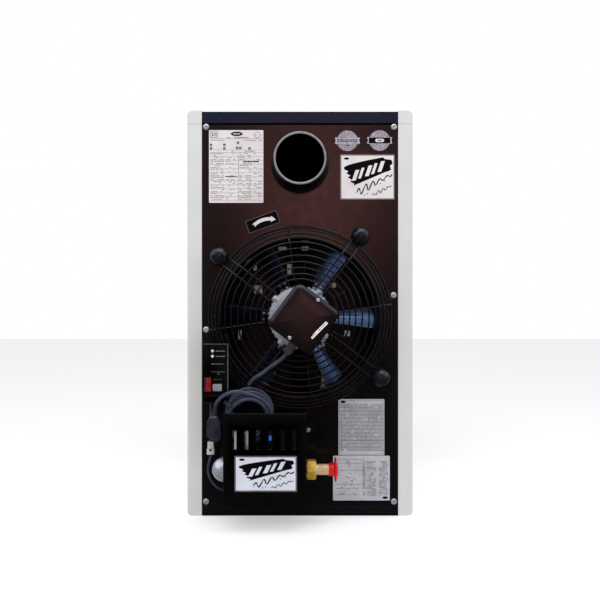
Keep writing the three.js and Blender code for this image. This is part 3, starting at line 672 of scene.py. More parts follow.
def cable_tie():
    """A nylon tie drawn round the coil's bundle of turns, with its locking head on the outside."""
    bm = bmesh.new()
    angle = math.radians(158)
    radial = polar(1, angle)
    along = Vector((-radial.y, radial.x))

    def place(u, v, w):
        p = Vector((COIL["x"], COIL["z"])) + radial * u + along * w
        return at(p.x, p.y, v)

    loop = rectangle((30.6, 46.4), (56.2, 81.8), 5, 8)
    inner = rectangle((31.5, 45.5), (57.1, 80.9), 4.2, 8)
    rings = [ring_of(bm, [place(p.x, p.y, w) for p in outline])
             for outline, w in ((loop, -2.2), (loop, 2.2), (inner, 2.2), (inner, -2.2))]
    skin(bm, rings, closed=True)
    prism(bm, rectangle((45.8, 50.6), (66, 73), 1.0, 3), place, (-3.4, 3.4))
    prism(bm, rectangle((47.2, 48.4), (73, 80), 0.3, 2), place, (-1.9, 1.9))
    return made("cable_tie", bm, ["gland_plastic"], bevel=0.2)


def lead_connector():
    """Two white nylon shells that push together round the thin lead, with a latch across the joint."""
    bm = bmesh.new()
    for low, high, inset in ((127.0, 138.0, 0.0), (139.2, 151.0, 1.2)):
        shell = rectangle((-177 + inset, -163 - inset), (24 + inset, 36 - inset), 1.4, 3)
        prism(bm, shell, upright, (low, high))
    prism(bm, rectangle((-174.5, -165.5), (26, 34), 0.6, 2), upright, (137.5, 139.6))
    bar(bm, (-172.4, -167.6), (133, 144.5), (35.0, 36.0))
    for x in (-175.2, -171.4, -167.6):
        bar(bm, (x, x + 2.4), (145.5, 149.6), (34.2, 35.3))
    return stand_in("lead_connector", bm, "white_plastic", bevel=0.3)


def grommet(name, x, z, bore, outer):
    bm = bmesh.new()
    hoop(bm, [(bore, 0.1), (outer, 0.1), (outer, 1.3), (outer - 1.1, 2.3), (bore + 0.5, 2.5), (bore, 2.0)],
         facing, (x, z), 32)
    return made(name, bm, ["rubber"])


at(*MAINS_START[0])
mains_gland()
mains_plug()
cable_tie()
at(*MOTOR_CABLE[0])
grommet("cable_grommet", -74, 219, 3.7, 7.5)
at(*VALVE_LEAD[0])
lead_connector()
grommet("lead_grommet", -147, 51, 2.2, 5)

# ---------------------------------------------------------------- cabinet

for side in ("left", "right"):
    refined(f"side_panel_{side}", 0.6)
    refined(f"side_cap_{side}", 0.6)
refined("top_panel", 1.0, 3)
refined("base_pan", 0.5)
refined("back_panel", 0.35)
refined("front_panel", 0.5)


def louvre(node):
    """A blade of lens section with rounded lips, and its two pins."""
    (_, pin_end), _, (back, front) = spans(node)
    _, z, proud = centre_of(node)
    half_chord, blade_end, pin, half_thick = (front - back) / 2, 158.5, 3.0, 3.0
    upper = []
    for share in shares(20):
        thick = half_thick * max(0.12, 4 * share * (1 - share))
        upper.append(Vector((proud - half_chord * (1 - 2 * share), z + thick)))
    lower = [Vector((p.x, 2 * z - p.y)) for p in reversed(upper)]
    bm = bmesh.new()
    prism(bm, upper + lower, sideways, (-blade_end, blade_end))
    for way in (-1, 1):
        ends = [(0, way * (blade_end - 1)), (pin, way * (blade_end - 1)), (pin, way * (pin_end - 0.5)),
                (pin - 0.5, way * pin_end), (0, way * pin_end)]
        turned(bm, ends, sideways, (proud, z), 24)
    stand_in(node, bm, "louvre_black", bevel=0.2, sharp=30)


for node in sorted(n for n in BODY_OF if n.startswith("louvre_")):
    louvre(node)

for number, node in enumerate(sorted(n for n in BODY_OF if n.startswith("panel_screw_"))):
    x, z, _ = centre_of(node)
    bm = bmesh.new()
    screw_head(bm, facing, (x, z), 5.6, 0.9, 3.5, turn=0.5 + number)
    turned(bm, [(5.75, 0.3), (5.75, 0.9), (5.4, 1.1)], facing, (x, z), 40)
    stand_in(node, bm, "plated_steel", sharp=30)

# ---------------------------------------------------------------- fan

shroud = bmesh.new()
quarter = [math.pi / 2 * share for share in shares(6)]
bell = [(151 + 4.6 * (1 - math.sin(a)), -1.8 - 8.2 * (1 - math.cos(a))) for a in quarter]
hoop(shroud, [(172, -1.8), (172, -3.3), (157, -3.3), (154.2, -5.4), (152.8, -10), (152.5, -14),
              (152.5, -48), (151.8, -49.2), (151, -48)] + bell[::-1], facing, FAN, 128)
stand_in("fan_shroud", shroud, "panel_black", sharp=32)

BLADE = {"root": 54, "tip": 147, "middle": -24, "thick": 1.6, "camber": 2.4, "corner": 10}
BLADES, FIRST_BLADE = 6, 58.7
# Half the chord ahead of and behind the blade's line, at the root, halfway and at the tip.
BLADE_WIDTHS = [(54, 12, 12), (100, 15, 17), (147, 23, 23)]


def blade_point(degrees, radius, across, lift):
    """A point of a blade: along it, across its chord and out of its face, in millimetres."""
    share = (radius - BLADE["root"]) / (BLADE["tip"] - BLADE["root"])
    pitch = math.radians(36 - 6 * share)
    proud = BLADE["middle"] - across * math.sin(pitch) + lift * math.cos(pitch)
    return round_fan(radius, degrees, proud, across * math.cos(pitch) + lift * math.sin(pitch))


def blade_edges(radius):
    """How far the blade reaches across on each side, its tip corners rounded."""
    for (r0, front0, back0), (r1, front1, back1) in zip(BLADE_WIDTHS, BLADE_WIDTHS[1:]):
        if radius <= r1:
            share = (radius - r0) / (r1 - r0)
            front, back = front0 + share * (front1 - front0), back0 + share * (back1 - back0)
            break
    into = max(0.0, radius - (BLADE["tip"] - BLADE["corner"]))
    taken = BLADE["corner"] - math.sqrt(max(0.0, BLADE["corner"] ** 2 - into ** 2))
    return -(back - taken), front - taken


def fan_blade(bm, degrees):
    """A pitched, twisted and cambered paddle with a stiffening rib, riveted to the hub."""
    rings = []
    for out in shares(22):
        radius = BLADE["root"] + (BLADE["tip"] - BLADE["root"]) * math.sin(math.pi / 2 * out) ** 0.9
        back, front = blade_edges(radius)
        section = []
        for way in (1, -1):
            for share in shares(12)[::way]:
                across = back + (front - back) * share
                bow = BLADE["camber"] * (4 * share * (1 - share) - 0.5)
                rib = 0.9 * math.exp(-((across / 3.2) ** 2)) * (radius < 128)
                section.append(blade_point(degrees, radius, across, bow + rib + way * BLADE["thick"] / 2))
        rings.append(ring_of(bm, section))
    skin(bm, rings, capped=True)
    for radius in (62, 72):
        for across in (-6.5, 6.5):
            def rivet(u, v, w, r=radius, a=across):
                return blade_point(degrees, r + u, a + v, w)
            turned(bm, [(2.6, 0.4), (2.3, 2.1), (1.2, 2.7), (0, 2.8)], rivet, (0, 0), 16, 1)


hub = bmesh.new()
hoop(hub, [(51.3, -7), (55.6, -7), (56.5, -7.9), (56.5, -22), (55.9, -22.6), (55.9, -25.4), (56.5, -26),
           (56.5, -40.1), (55.6, -41), (51.3, -41)], facing, FAN, 96)
for k in range(BLADES):
    fan_blade(hub, FIRST_BLADE + 360 / BLADES * k)
stand_in("impeller", hub, "fan_blade", "plated_steel", sharp=40)

can = bmesh.new()
turned(can, [(20, 29.7), (21, 29.2), (46, 29.2), (49.2, 28.4), (50.7, 26.4), (50.7, -5), (50.2, -5.6),
             (50.7, -6.2), (50.7, -41), (49, -44), (44, -46), (26, -46), (24, -43.5), (12, -43.5),
             (10, -46)], facing, FAN, 96)
stand_in("rotor_can", can, "cast_metal", sharp=30)

GUARD_LEGS = [53, 143, 233, 323]


def motor_stator():
    """The motor's fixed end: a finned bell and the four lugs that carry the guard."""
    bm = bmesh.new()
    sides, rings = 4 * 40, []
    # The fins' valleys and crests as radii, and how proud.
    levels = [(0, 0, 30.3), (53.5, 53.5, 30.3), (56.4, 58.2, 34), (58, 59.6, 37), (58, 59.6, 53),
              (56.4, 57.6, 57), (50, 50, 60)]
    for valley, crest, proud in levels:
        ring = []
        for i in range(sides if crest else 1):
            radius = crest if i % 4 < 2 else valley
            ring.append(round_fan(radius, 360 / sides * (i + 0.22 * (i % 2)), proud))
        rings.append(ring_of(bm, ring))
    skin(bm, rings)
    rings = rings[-1:]
    for radius, proud in ((40, 60), (40, 63.7), (0, 63.7)):
        count = sides if radius else 1
        rings.append(ring_of(bm, [round_fan(radius, 360 / sides * i, proud) for i in range(count)]))
    skin(bm, rings)
    lug_reach = 58.5
    for degrees in GUARD_LEGS:
        tube(bm, [round_fan(r, degrees, 53) for r in (50, 61.5, 63, 63.5)], [7, 7, 6.4, 5.2], 28)
        at_lug = polar(lug_reach, math.radians(degrees), FAN)
        screw_head(bm, facing, at_lug, 3.6, 59.6, 62.2, 1, turn=degrees)
    stand_in("motor_stator", bm, "cast_metal", "plated_steel", sharp=30, bevel=0.2)


def wire_guard():
    """Welded rings, four double legs bent down to the rubber mounts, and four single spokes."""
    guard = curve_piece("fan_guard_fine", "guard_wire")
    guard.data.bevel_depth = 1.5 * MM
    guard.data.bevel_resolution = 3
    leg_thick = 1.2

    def wire(points, thick=1.0, cyclic=False):
        spline = guard.data.splines.new("POLY")
        spline.points.add(len(points) - 1)
        for point, place in zip(spline.points, points):
            point.co = (*place, 1)
            point.radius = thick
        spline.use_cyclic_u = cyclic

    rings = [(r, 63) for r in (71.7, 81.5, 92.5, 103.7, 115.8, 128.5, 140.3)]
    rings += [(150, 58), (159, 46), (167, 33), (175, 20)]
    sides = 120
    for radius, proud in rings:
        wire([round_fan(radius, 360 / sides * i, proud) for i in range(sides)], cyclic=True)

    def bent(points, degrees, sideways_by=0.0, thick=1.0):
        """A wire along a radius through (radius, proud) points, its bends rounded."""
        line = [Vector(points[0])]
        for before, here, after in zip(points, points[1:], points[2:]):
            here, reach = Vector(here), 9
            a = here + (Vector(before) - here).normalized() * reach
            b = here + (Vector(after) - here).normalized() * reach
            line += [a.lerp(here, t).lerp(here.lerp(b, t), t) for t in shares(6)]
        line.append(Vector(points[-1]))
        wire([round_fan(p.x, degrees, p.y, sideways_by) for p in line], thick)

    for degrees in GUARD_LEGS:
        for off in (-9, 9):
            bent([(63, 61), (147, 61), (178.4, 24.5)], degrees, off, leg_thick)
        bent([(70, 61), (147, 61.5), (176.4, 17.5)], degrees + 45)
    # Short stiffeners, as (direction, from radius, to radius).
    for degrees, start, end in ((30, 72, 98), (85, 72, 106), (336, 66, 92), (68, 72, 104), (188, 66, 76)):
        bent([(start, 61), (end, 61)], degrees)
    settle(guard, "cabinet", "guard_wire", ("fan_guard",))


motor_stator()
wire_guard()

for i in range(len(GUARD_LEGS)):
    node = f"guard_mount_{i + 1}"
    x, z, _ = centre_of(node)
    bm = bmesh.new()
    turned(bm, [(16.6, 0.3), (18, 1.4), (18, 8.6), (17.1, 9.8), (17.1, 10.6), (18, 11.8), (18, 14.6),
                (17.4, 18), (16, 21.6), (13.6, 25), (10.4, 27.6), (6.4, 29.3), (3, 29.9), (0, 30)], facing,
           (x, z), 56)
    stand_in(node, bm, "rubber", sharp=40)

TERMINAL = centre_of("terminal_lid")[:2]
TERMINAL_SIDE, TERMINAL_CORNER, TERMINAL_TURN = 98, 14, 53


def on_terminal(u, v, w):
    """Outlines in the terminal box's own turned axes, drawn out along proud."""
    c, s = math.cos(math.radians(TERMINAL_TURN)), math.sin(math.radians(TERMINAL_TURN))
    return at(TERMINAL[0] + u * c - v * s, TERMINAL[1] + u * s + v * c, w)


def stacked(bm, place, half_u, half_v, corner, levels, material=0, middle=(0, 0), steps=8):
    """A box with rounded corners whose outline draws in by an inset at each (inset, height)."""
    rings = []
    for inset, height in levels:
        span_u = (middle[0] - half_u + inset, middle[0] + half_u - inset)
        span_v = (middle[1] - half_v + inset, middle[1] + half_v - inset)
        outline = rectangle(span_u, span_v, max(0.3, corner - inset), steps)
        rings.append(ring_of(bm, [place(p.x, p.y, height) for p in outline]))
    skin(bm, rings, material, capped=True)


def terminal_box():
    half = TERMINAL_SIDE / 2
    bm = bmesh.new()
    levels = [(3.5, 64), (1.2, 67), (1, 70), (1, 90.2), (1.9, 90.6), (1.9, 92)]
    stacked(bm, on_terminal, half, half, TERMINAL_CORNER, levels)
    for v in (-24, -8, 8, 24):
        for u in (-half + 0.6, half - 1.6):
            bar(bm, (u, u + 1), (v - 1, v + 1), (68, 89), place=on_terminal)
    stand_in("terminal_box", bm, "box_plastic", sharp=35)
    bm = bmesh.new()
    levels = [(1.4, 92.3), (0.3, 92.6), (0, 93.2), (0, 95.5), (0.4, 97.8), (1.6, 100), (3.4, 101.8),
              (5.6, 103.2), (8.4, 104.1), (12, 104.7), (18, 105.2), (26, 105.6), (34, 105.8)]
    stacked(bm, on_terminal, half, half, TERMINAL_CORNER, levels)
    for u in (-42.5, 42.5):
        turned(bm, [(4.6, 99), (4.6, 103.4), (4.1, 103.8)], on_terminal, (u, 0), 32)
        screw_head(bm, on_terminal, (u, 0), 3.6, 103.4, 105.4, 1, turn=0.3 + u)
    stand_in("terminal_lid", bm, "box_plastic", "plated_steel", sharp=35)


def motor_gland():
    """A cable gland: hexagon, thin lock ring, and a domed nut with grip ribs."""
    normal = math.radians(TERMINAL_TURN + 180)
    ahead = polar(1, normal)
    along = Vector((-ahead.y, ahead.x))
    wall, aside, proud = 48.3, 12.9, 76
    start = Vector(TERMINAL) + ahead * wall + along * aside
    bm = bmesh.new()

    def place(u, v, w):
        p = start + ahead * w + along * u
        return at(p.x, p.y, proud + v)

    turned(bm, [(8.5, 0), (8.5, 1.6), (7.4, 2.2), (7.4, 3.2)], place, (0, 0), 40)
    prism(bm, [polar(8.5, a) for a in circle(6)], place, (3, 8))
    turned(bm, [(7.0, 7.9), (7.6, 8.9), (7.6, 17.7), (7.0, 20), (5.6, 22.4), (4.4, 23.6), (3.9, 24.9)],
           place, (0, 0), 40)
    grip = [(7.5, 9.6), (7.9, 10.6), (7.9, 16.8), (6.9, 19.8)]
    for a in circle(16):
        line = [place(r * math.cos(a), r * math.sin(a), w) for r, w in grip]
        tube(bm, line, [0.4, 0.75, 0.75, 0.4], 8)
    stand_in("motor_gland", bm, "gland_plastic", sharp=35, bevel=0.2)


terminal_box()
motor_gland()

# ---------------------------------------------------------------- flue and heat exchanger


def flue_spigot():
    """A seamed black tube with a rolled bare rim."""
    bm = bmesh.new()
    hoop(bm, [(47.5, -92), (50, -92), (50, 10.5), (49.2, 11.4), (49.2, 12.6), (50, 13.5), (50, 57),
              (47.5, 57)], facing, FLUE, 112)
    thick = 2.1
    rim = [tuple(polar(thick, a, (47.4, 57.65))) for a in circle(14)]
    hoop(bm, rim, facing, FLUE, 112, 1)
    bar(bm, (-0.9, 0.9), (FLUE[1] - 50, FLUE[1] - 49.2), (14, 55))
    stand_in("flue_spigot", bm, "flue_black", "bare_rim", sharp=40)
    bm = bmesh.new()
    hoop(bm, [(50.1, 0.1), (57, 0.1), (57, 0.7), (55.8, 1.2), (51.4, 1.5), (50.1, 3.2)], facing, FLUE, 112)
    made("flue_collar", bm, ["flue_black"])


flue_spigot()
for node in ("flue_collector", "combustion_chamber", "exchanger_tube_left", "exchanger_tube_right", "burner"):
    refined(node, 1.0)


def exchanger_glint_clips(face):
    """Bright clips, each with a rivet, set along the exchanger's face as painted glints where light gets in,
    and a corrugated sensor tube.
    """
    bm = bmesh.new()
    # Across, up, wide and tall.
    clips = [(-37, 530, 17, 7), (11, 530, 15, 9), (-22.6, 486, 9, 21), (-95, 489, 6, 12),
             (-88.6, 443, 17, 17), (69.6, 452, 13, 10), (-127, 347, 7, 20), (-60, 269, 16, 15),
             (100, 350, 12, 12)]
    for x, z, wide, tall in clips:
        left, low, high = x - wide / 2, z - tall / 2, z + tall / 2
        prism(bm, rectangle((left, x + wide / 2), (low, high), 1.5, 3), facing, (face, face + 1.2))
        bar(bm, (left, left + 1.2), (low, high), (face, face + 7))
        turned(bm, [(2.8, face + 1), (2.4, face + 2.6), (1.2, face + 3.3), (0, face + 3.4)], facing,
               (x + 1, z), 20)
    x, middle = 48.5, face + 13
    folds = [(4.1 + 0.9 * math.cos(math.pi * k), 238 + 1.5 * k) for k in range(66)]
    turned(bm, [(0, 236)] + folds + [(0, 338)], upright, (x, middle), 28)
    for z in (236, 336):
        turned(bm, [(6, z - 4), (6, z + 4)], upright, (x, middle), 6)
        bar(bm, (x - 3, x + 3), (z - 3, z + 3), (face, middle))
    made("exchanger_glint_clips", bm, ["bright_clip"], slot="plated_steel", bevel=0.3)


exchanger_glint_clips(spans("exchanger_tube_left")[2][1])


def igniter():
    """A spark electrode: glazed ceramic with a collar and a bent wire."""
    bm = bmesh.new()
    front, back = spans("igniter")[2]
    turned(bm, [(3.4, back), (4.5, back - 1.6), (4.5, back - 14), (3.9, back - 15), (3.9, back - 18),
                (4.5, back - 19), (4.5, back - 60), (3.0, back - 69), (0, back - 70)], facing, (60, 135),
           32)
    tube(bm, [at(60, 135, back - 68), at(60, 134.5, back - 80), at(60, 131, back - 92), at(60, 126, front)],
         [1.3, 1.3, 1.2, 1.0], 12, 1)
    stand_in("igniter", bm, "ceramic", "dark_metal", sharp=35)


igniter()

# ---------------------------------------------------------------- gas train

_, GAS_Z, GAS_P = centre_of("inlet_cap")
# The gas line's axis as (proud, z), and the manifold's as (x, z).
GAS_LINE = (GAS_P, GAS_Z)
MANIFOLD = (centre_of("gas_manifold")[0], GAS_Z)


def gas_valve():
    """A cast gas control: cover plates, two upright solenoids, a pressure tap and the inlet boss."""
    bm = bmesh.new()
    stacked(bm, upright, 46.7, 30.2, 6, [(1.6, 84), (0.4, 85.2), (0, 87), (0, 129), (0.4, 130.8),
                                         (1.6, 132)], middle=(-69.5, 73))
    stacked(bm, facing, 34, 17, 3, [(0, 101), (0, 103.2), (0.8, 104)], middle=(-69.5, 108))
    for u, v in ((-97, 97), (-42, 97), (-97, 119), (-42, 119)):
        screw_head(bm, facing, (u, v), 2.6, 102.9, 104, 1, turn=u)
    for x in (-110, -90):
        turns = [(9.5 - 0.2 * (k % 2), 138 + 1.4 * k) for k in range(28)]
        turned(bm, [(9.5, 131), (9.5, 137), (8.6, 137.6)] + turns + [(8.6, 177.6), (9.5, 178.4), (9.5, 181),
                                                                     (8.4, 182), (4.4, 182.4), (4.4, 185.4),
                                                                     (3.6, 186), (0, 186)], upright,
               (x, 94), 40, 1)
    turned(bm, [(4, 131), (4, 139), (3.2, 141.4), (2.2, 142)], upright, (-40, 60), 24, 1)
    turned(bm, [(12, -26), (12, 6), (11, 7), (11, 11.8)], sideways, GAS_LINE, 40)
    stand_in("gas_valve", bm, "cast_metal", "bright_clip", bevel=0.3, sharp=35)


def outlet_elbow():
    """A plated ball elbow with a banded socket at each end and a casting seam."""
    bm = bmesh.new()
    ball, count = 22.6, 24
    angles = [math.pi * k / count for k in range(1, count)]
    arc = [(ball * math.sin(a), GAS_P - ball * math.cos(a)) for a in angles]
    turned(bm, [(0, GAS_P - ball)] + arc + [(0, GAS_P + ball)], facing, MANIFOLD, 48)
    collar = [(0, 12), (15.4, 12), (15.4, 17), (16.4, 17.8), (17, 18.6), (17, 22.6), (16.2, 23.6), (0, 23.6)]
    turned(bm, [(r, MANIFOLD[0] + h) for r, h in collar], sideways, GAS_LINE, 40)
    turned(bm, [(15.4, 46), (15.4, 29), (17, 27.6), (17, 21), (16.2, 20)], facing, MANIFOLD, 40)
    seam = [(22.3, -1.0), (22.95, -0.4), (22.95, 0.4), (22.3, 1.0)]
    hoop(bm, [(r, MANIFOLD[0] + h) for r, h in seam], sideways, GAS_LINE, 64)
    stand_in("outlet_elbow", bm, "plated_steel", sharp=40)


def gas_manifold():
    bm = bmesh.new()
    hoop(bm, [(8, 19.7), (9.6, 19.7), (10.5, 18.6), (10.5, -170), (10, -172), (8, -172)], facing, MANIFOLD,
         40)
    for band in range(-20, -170, -30):
        hoop(bm, [(10.2, band), (10.5, band - 1), (10.5, band - 5), (10.2, band - 6)], facing, MANIFOLD, 40)
    stand_in("gas_manifold", bm, "plated_steel", sharp=35)


def ignition_module():
    """The ignition control: a moulded case with a lid line, side ribs, screws and a blue lamp in a bezel."""
    x = spans("ignition_module")[0]
    bm = bmesh.new()
    middle, half = ((x[0] + x[1]) / 2, 172.5), ((x[1] - x[0]) / 2, 27.5)
    stacked(bm, facing, *half, 3, [(1.2, 84), (0, 85.4), (0, 98), (0.7, 98.3), (0.7, 99), (0, 99.3),
                                   (0, 106.6), (1.4, 108)], middle=middle)
    for k in range(6):
        bar(bm, (x[0] + 4, x[0] + 22), (149 + 3 * k, 150.4 + 3 * k), (107.6, 108))
    for u, v in ((-56, 196), (0, 196), (-56, 149), (0, 149)):
        turned(bm, [(2.2, 107), (2, 107.9), (0, 108)], facing, (u, v), 20, 2)
    for v, reach in ((174.6, 2.9), (170.4, 2.4)):
        turned(bm, [(reach, 107), (reach, 108.4), (reach - 0.5, 109.4), (1.3, 109.9), (0, 110)], facing,
               (-53.5, v), 32, 1)
    stand_in("ignition_module", bm, "box_plastic", "blue_lamp", "plated_steel", bevel=0.25, sharp=35)


def valve_cover():
    """The folded shield, its front face set back by the thickness of the label that it carries."""
    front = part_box("valve_cover")[0].y
    refined("valve_cover", 0.7, 3, move=lambda co: Vector((co.x, max(co.y, front + 0.00025), co.z)))
    bm = bmesh.new()
    screw_head(bm, facing, (15.6, 167.6), 4.4, 1.9, 4.6, turn=0.9)
    made("cover_screw", bm, ["plated_steel"])


def union_nut():
    """A hexagon nut with both ends chamfered round."""
    start, end = spans("union_nut")[0]
    corner, chamfer_start, chamfer = 19.3, 16.6, 2.2
    across = 19.5 * math.cos(math.pi / 6)
    bm = bmesh.new()
    rings = []
    ends = ((start, chamfer_start), (start + chamfer, corner), (end - chamfer, corner), (end, chamfer_start))
    for x, widest in ends:
        ring = []
        for angle in circle(72):
            flat = across / math.cos((angle + math.pi / 3) % (math.pi / 3) - math.pi / 6)
            reach = min(flat, widest)
            ring.append(sideways(*polar(reach, angle, GAS_LINE), x))
        rings.append(ring_of(bm, ring))
    skin(bm, rings, capped=True)
    hoop(bm, [(10.8, end - 0.4), (13.4, end - 0.4), (13.4, end), (10.8, end)], sideways, GAS_LINE, 48)
    stand_in("union_nut", bm, "brass", sharp=25, bevel=0.25)


def inlet_nipple():
    """A brass nipple with a thread of 14 turns to the inch."""
    start, end = spans("inlet_nipple")[0]
    pitch, thread_start = 1.814, start + 2.4
    profile = [(7.5, start), (9.9, start), (9.9, thread_start)]
    turns = int((end - thread_start - 1) / pitch)
    for k in range(turns):
        at_turn = thread_start + pitch * k
        for radius, share in ((9.45, 0.25), (10.4, 0.66), (10.4, 0.84)):
            profile.append((radius, at_turn + share * pitch))
    bm = bmesh.new()
    hoop(bm, profile + [(9.4, end - 0.5), (9.0, end), (7.5, end)], sideways, GAS_LINE, 64)
    stand_in("inlet_nipple", bm, "pale_brass", sharp=30)


def inlet_cap():
    """The red transport cap: a short skirt with grip ribs, a broad flange and a stepped boss."""
    bm = bmesh.new()
    turned(bm, [(10.9, 61.3), (10.9, 53.9), (11.3, 53.5), (11.9, 53.5), (12.2, 54), (12.2, 63), (13, 64),
                (20, 64.6), (22, 65), (22.5, 65.6), (22.5, 67), (22, 67.5), (14, 68.4), (12.6, 69.2),
                (12, 70), (9.4, 70.4), (8.8, 69.8), (5.5, 69.8), (5, 70.6), (0, 71)], sideways, GAS_LINE,
           72)
    for a in circle(20):
        line = [sideways(*polar(r, a, GAS_LINE), x) for r, x in ((11.6, 54), (11.9, 62.5))]
        tube(bm, line, [0.55, 0.55], 8)
    stand_in("inlet_cap", bm, "red_cap", sharp=35)


for build in (gas_valve, outlet_elbow, gas_manifold, ignition_module,
              valve_cover, union_nut, inlet_nipple, inlet_cap):
    build()

# ---------------------------------------------------------------- labels


# A label's finishes: its paper, its ink, a grey ink, and a film or foil under the paper.
PAPER, INK, GREY, FOIL = range(4)
LAYER, INK_THICK = 0.05, 0.09


class Print:
    """A thin printed plate: paper first, then raised print, in millimetres from its centre."""

    def __init__(self, x, z, proud, seed=0, tilt=0.0):
        self.bm = bmesh.new()
        self.rng = random.Random(seed)
        self.x, self.z, self.proud = x, z, proud
        self.cos, self.sin = math.cos(math.radians(tilt)), math.sin(math.radians(tilt))

    def place(self, u, v, w):
        return at(self.x + u * self.cos - v * self.sin, self.z + u * self.sin + v * self.cos, self.proud + w)

    def shape(self, outline, material, layer):
        prism(self.bm, outline, self.place, (LAYER * layer, LAYER * layer + INK_THICK), material)

    def box(self, u, v, material, layer=1, radius=0.0):
        self.shape(rectangle(sorted(u), sorted(v), radius, 3), material, layer)

    def sheet(self, half_u, half_v, material, layer, radius):
        self.box((-half_u, half_u), (-half_v, half_v), material, layer, radius)

    def line(self, u, v, thick, material):
        self.box(u, (v - thick / 2, v + thick / 2), material, 2)

    def words(self, u, v, height, material, fill=0.8):
        """A row of short strokes, as long as words, that stands for small print."""
        here = u[0]
        while here < u[1] - 1.5:
            end = min(here + self.rng.uniform(1.6, 6.5), u[1])
            if self.rng.random() < fill:
                self.box((here, end), (v - height / 2, v + height / 2), material, 2)
            here = end + self.rng.uniform(0.7, 1.3)

    def oval(self, u, v, wide, tall, material=INK, layer=2, sides=20):
        edge = [Vector((u + wide * math.cos(a), v + tall * math.sin(a))) for a in circle(sides)]
        self.shape(edge, material, layer)

    def dot(self, u, v, radius, material, layer=2, sides=16):
        self.oval(u, v, radius, radius, material, layer, sides)

    def done(self, name, materials):
        made(name, self.bm, materials, slot="white_plastic")


def plate_over(x, z, proud, seed):
    """A label over two spans, with half its width and half its height."""
    half_u, half_v = (x[1] - x[0]) / 2, (z[1] - z[0]) / 2
    return Print(x[0] + half_u, z[0] + half_v, proud, seed), half_u, half_v


def rating_label():
    label = Print(-124.4, 680.9, 0.3, seed=4)
    half_u, half_v = 53, 70.8
    label.sheet(half_u, half_v, PAPER, 0, 1.0)
    label.box((-50, -36), (56, 68), INK)
    label.box((-49.2, -36.8), (56.8, 67.2), PAPER, 2)
    for u in (-46.5, -43, -39.5):
        label.box((u - 0.7, u + 0.7), (58.6, 65.4), INK, 3)
    label.oval(1, 63.6, 11.5, 4.4, INK, 1, 24)
    label.box((-6, 8), (62.8, 64.4), PAPER, 2)
    label.dot(41, 61.5, 6.4, GREY, 1, 24)
    label.dot(41, 61.5, 5.5, PAPER, 2, 24)
    heading = (((36, 46), 61.5, 1.2), ((-18, 24), 56.2, 1.6), ((-50, -20), 51, 1.2), ((16, 50), 51, 1.2))
    for u, v, height in heading:
        label.words(u, v, height, GREY)
    for u, v in ((-49, 42), (-49, 35), (-23, 42), (-23, 35), (3.5, 46), (2, 36), (8, 36), (26, 35)):
        label.box((u - 2.2, u + 2.2), (v - 2.4, v + 2.4), INK)
        label.box((u - 0.7, u + 0.7), (v - 1.4, v + 0.4), PAPER, 3)
    label.words((-8, 36), 29.8, 1.3, GREY)
    label.line((-51, 51), 32.4, 0.3, GREY)
    columns = (((-50, -24), 1.1, 0.75), ((-20, -2), 1.0, 0.3), ((6, 30), 1.1, 0.55), ((34, 50), 1.1, 0.35))
    for row in range(24):
        v = 25 - 3.9 * row
        for u, height, fill in columns:
            label.words(u, v, height, GREY, fill)
        if row % 2:
            label.line((-51, 51), v - 1.95, 0.4, GREY)
    label.words((14, 44), 9.4, 2.4, INK, 1.0)
    label.words((-20, 2), -19.6, 2.2, INK, 1.0)
    label.box((4, 4.6), (-68, 24), GREY, 2)
    for v in (54, 27.2):
        label.line((-51, 51), v, 0.5, GREY)
    label.done("rating_label", ["label_paper", "label_ink", "label_grey_ink"])


def notice_label(name, x, z, seed, rows, columns, mark, rules, frame=False):
    """A grey notice with close rows of small print and one dark mark.

    columns are (left, right, how much of it is printed) as shares of half the width, mark is the mark's
    corner, and rules are (height, right end) as shares.
    """
    label, half_u, half_v = plate_over(x, z, 0.3, seed)
    label.sheet(half_u, half_v, PAPER, 0, 1.5)
    label.oval(mark[0] * (half_u - 9), mark[1] * (half_v - 5.5), 5.4, 2.4)
    pitch = (2 * half_v - 18) / rows
    for row in range(rows):
        v = half_v - 11 - pitch * row
        for u0, u1, fill in columns:
            label.words((half_u * u0, half_u * u1), v, 0.42 * pitch, GREY, fill)
    for share, end in rules:
        label.line((-half_u * 0.92, half_u * end), half_v * share, 0.5, INK)
    if frame:
        for u in (-half_u + 2.2, half_u - 2.2):
            label.box((u - 0.25, u + 0.25), (-half_v + 3, half_v - 3), INK)
        for v in (-half_v + 2.2, half_v - 2.2):
            label.line((-half_u + 3, half_u - 3), v, 0.5, INK)
    label.done(name, ["label_grey_paper", "label_ink", "notice_ink"])


def brush_band(rng, half_u, half_v):
    """A dark band that rises to the right, ragged where the brush began and hooked where it left."""
    upper = [Vector((half_u * (-0.9 + 1.5 * t), half_v * (0.46 + 0.46 * t ** 0.7))) for t in shares(12)]
    right = [Vector((half_u * a, half_v * b)) for a, b in
             ((0.66, 0.84), (0.92, 0.8), (0.96, 0.62), (0.86, 0.52), (0.91, 0.34), (0.78, 0.26))]
    lower = [Vector((half_u * (0.7 - 1.26 * t), half_v * (0.24 - 0.66 * t))) for t in shares(12)]
    teeth = 9
    ragged = []
    for k in range(1, teeth):
        edge = lower[-1].lerp(upper[0], k / teeth)
        jut = half_u * 0.09 if k % 2 else -half_u * 0.03
        ragged.append(Vector((edge.x + jut + rng.uniform(-0.6, 0.6), edge.y)))
    return upper + right + lower + ragged


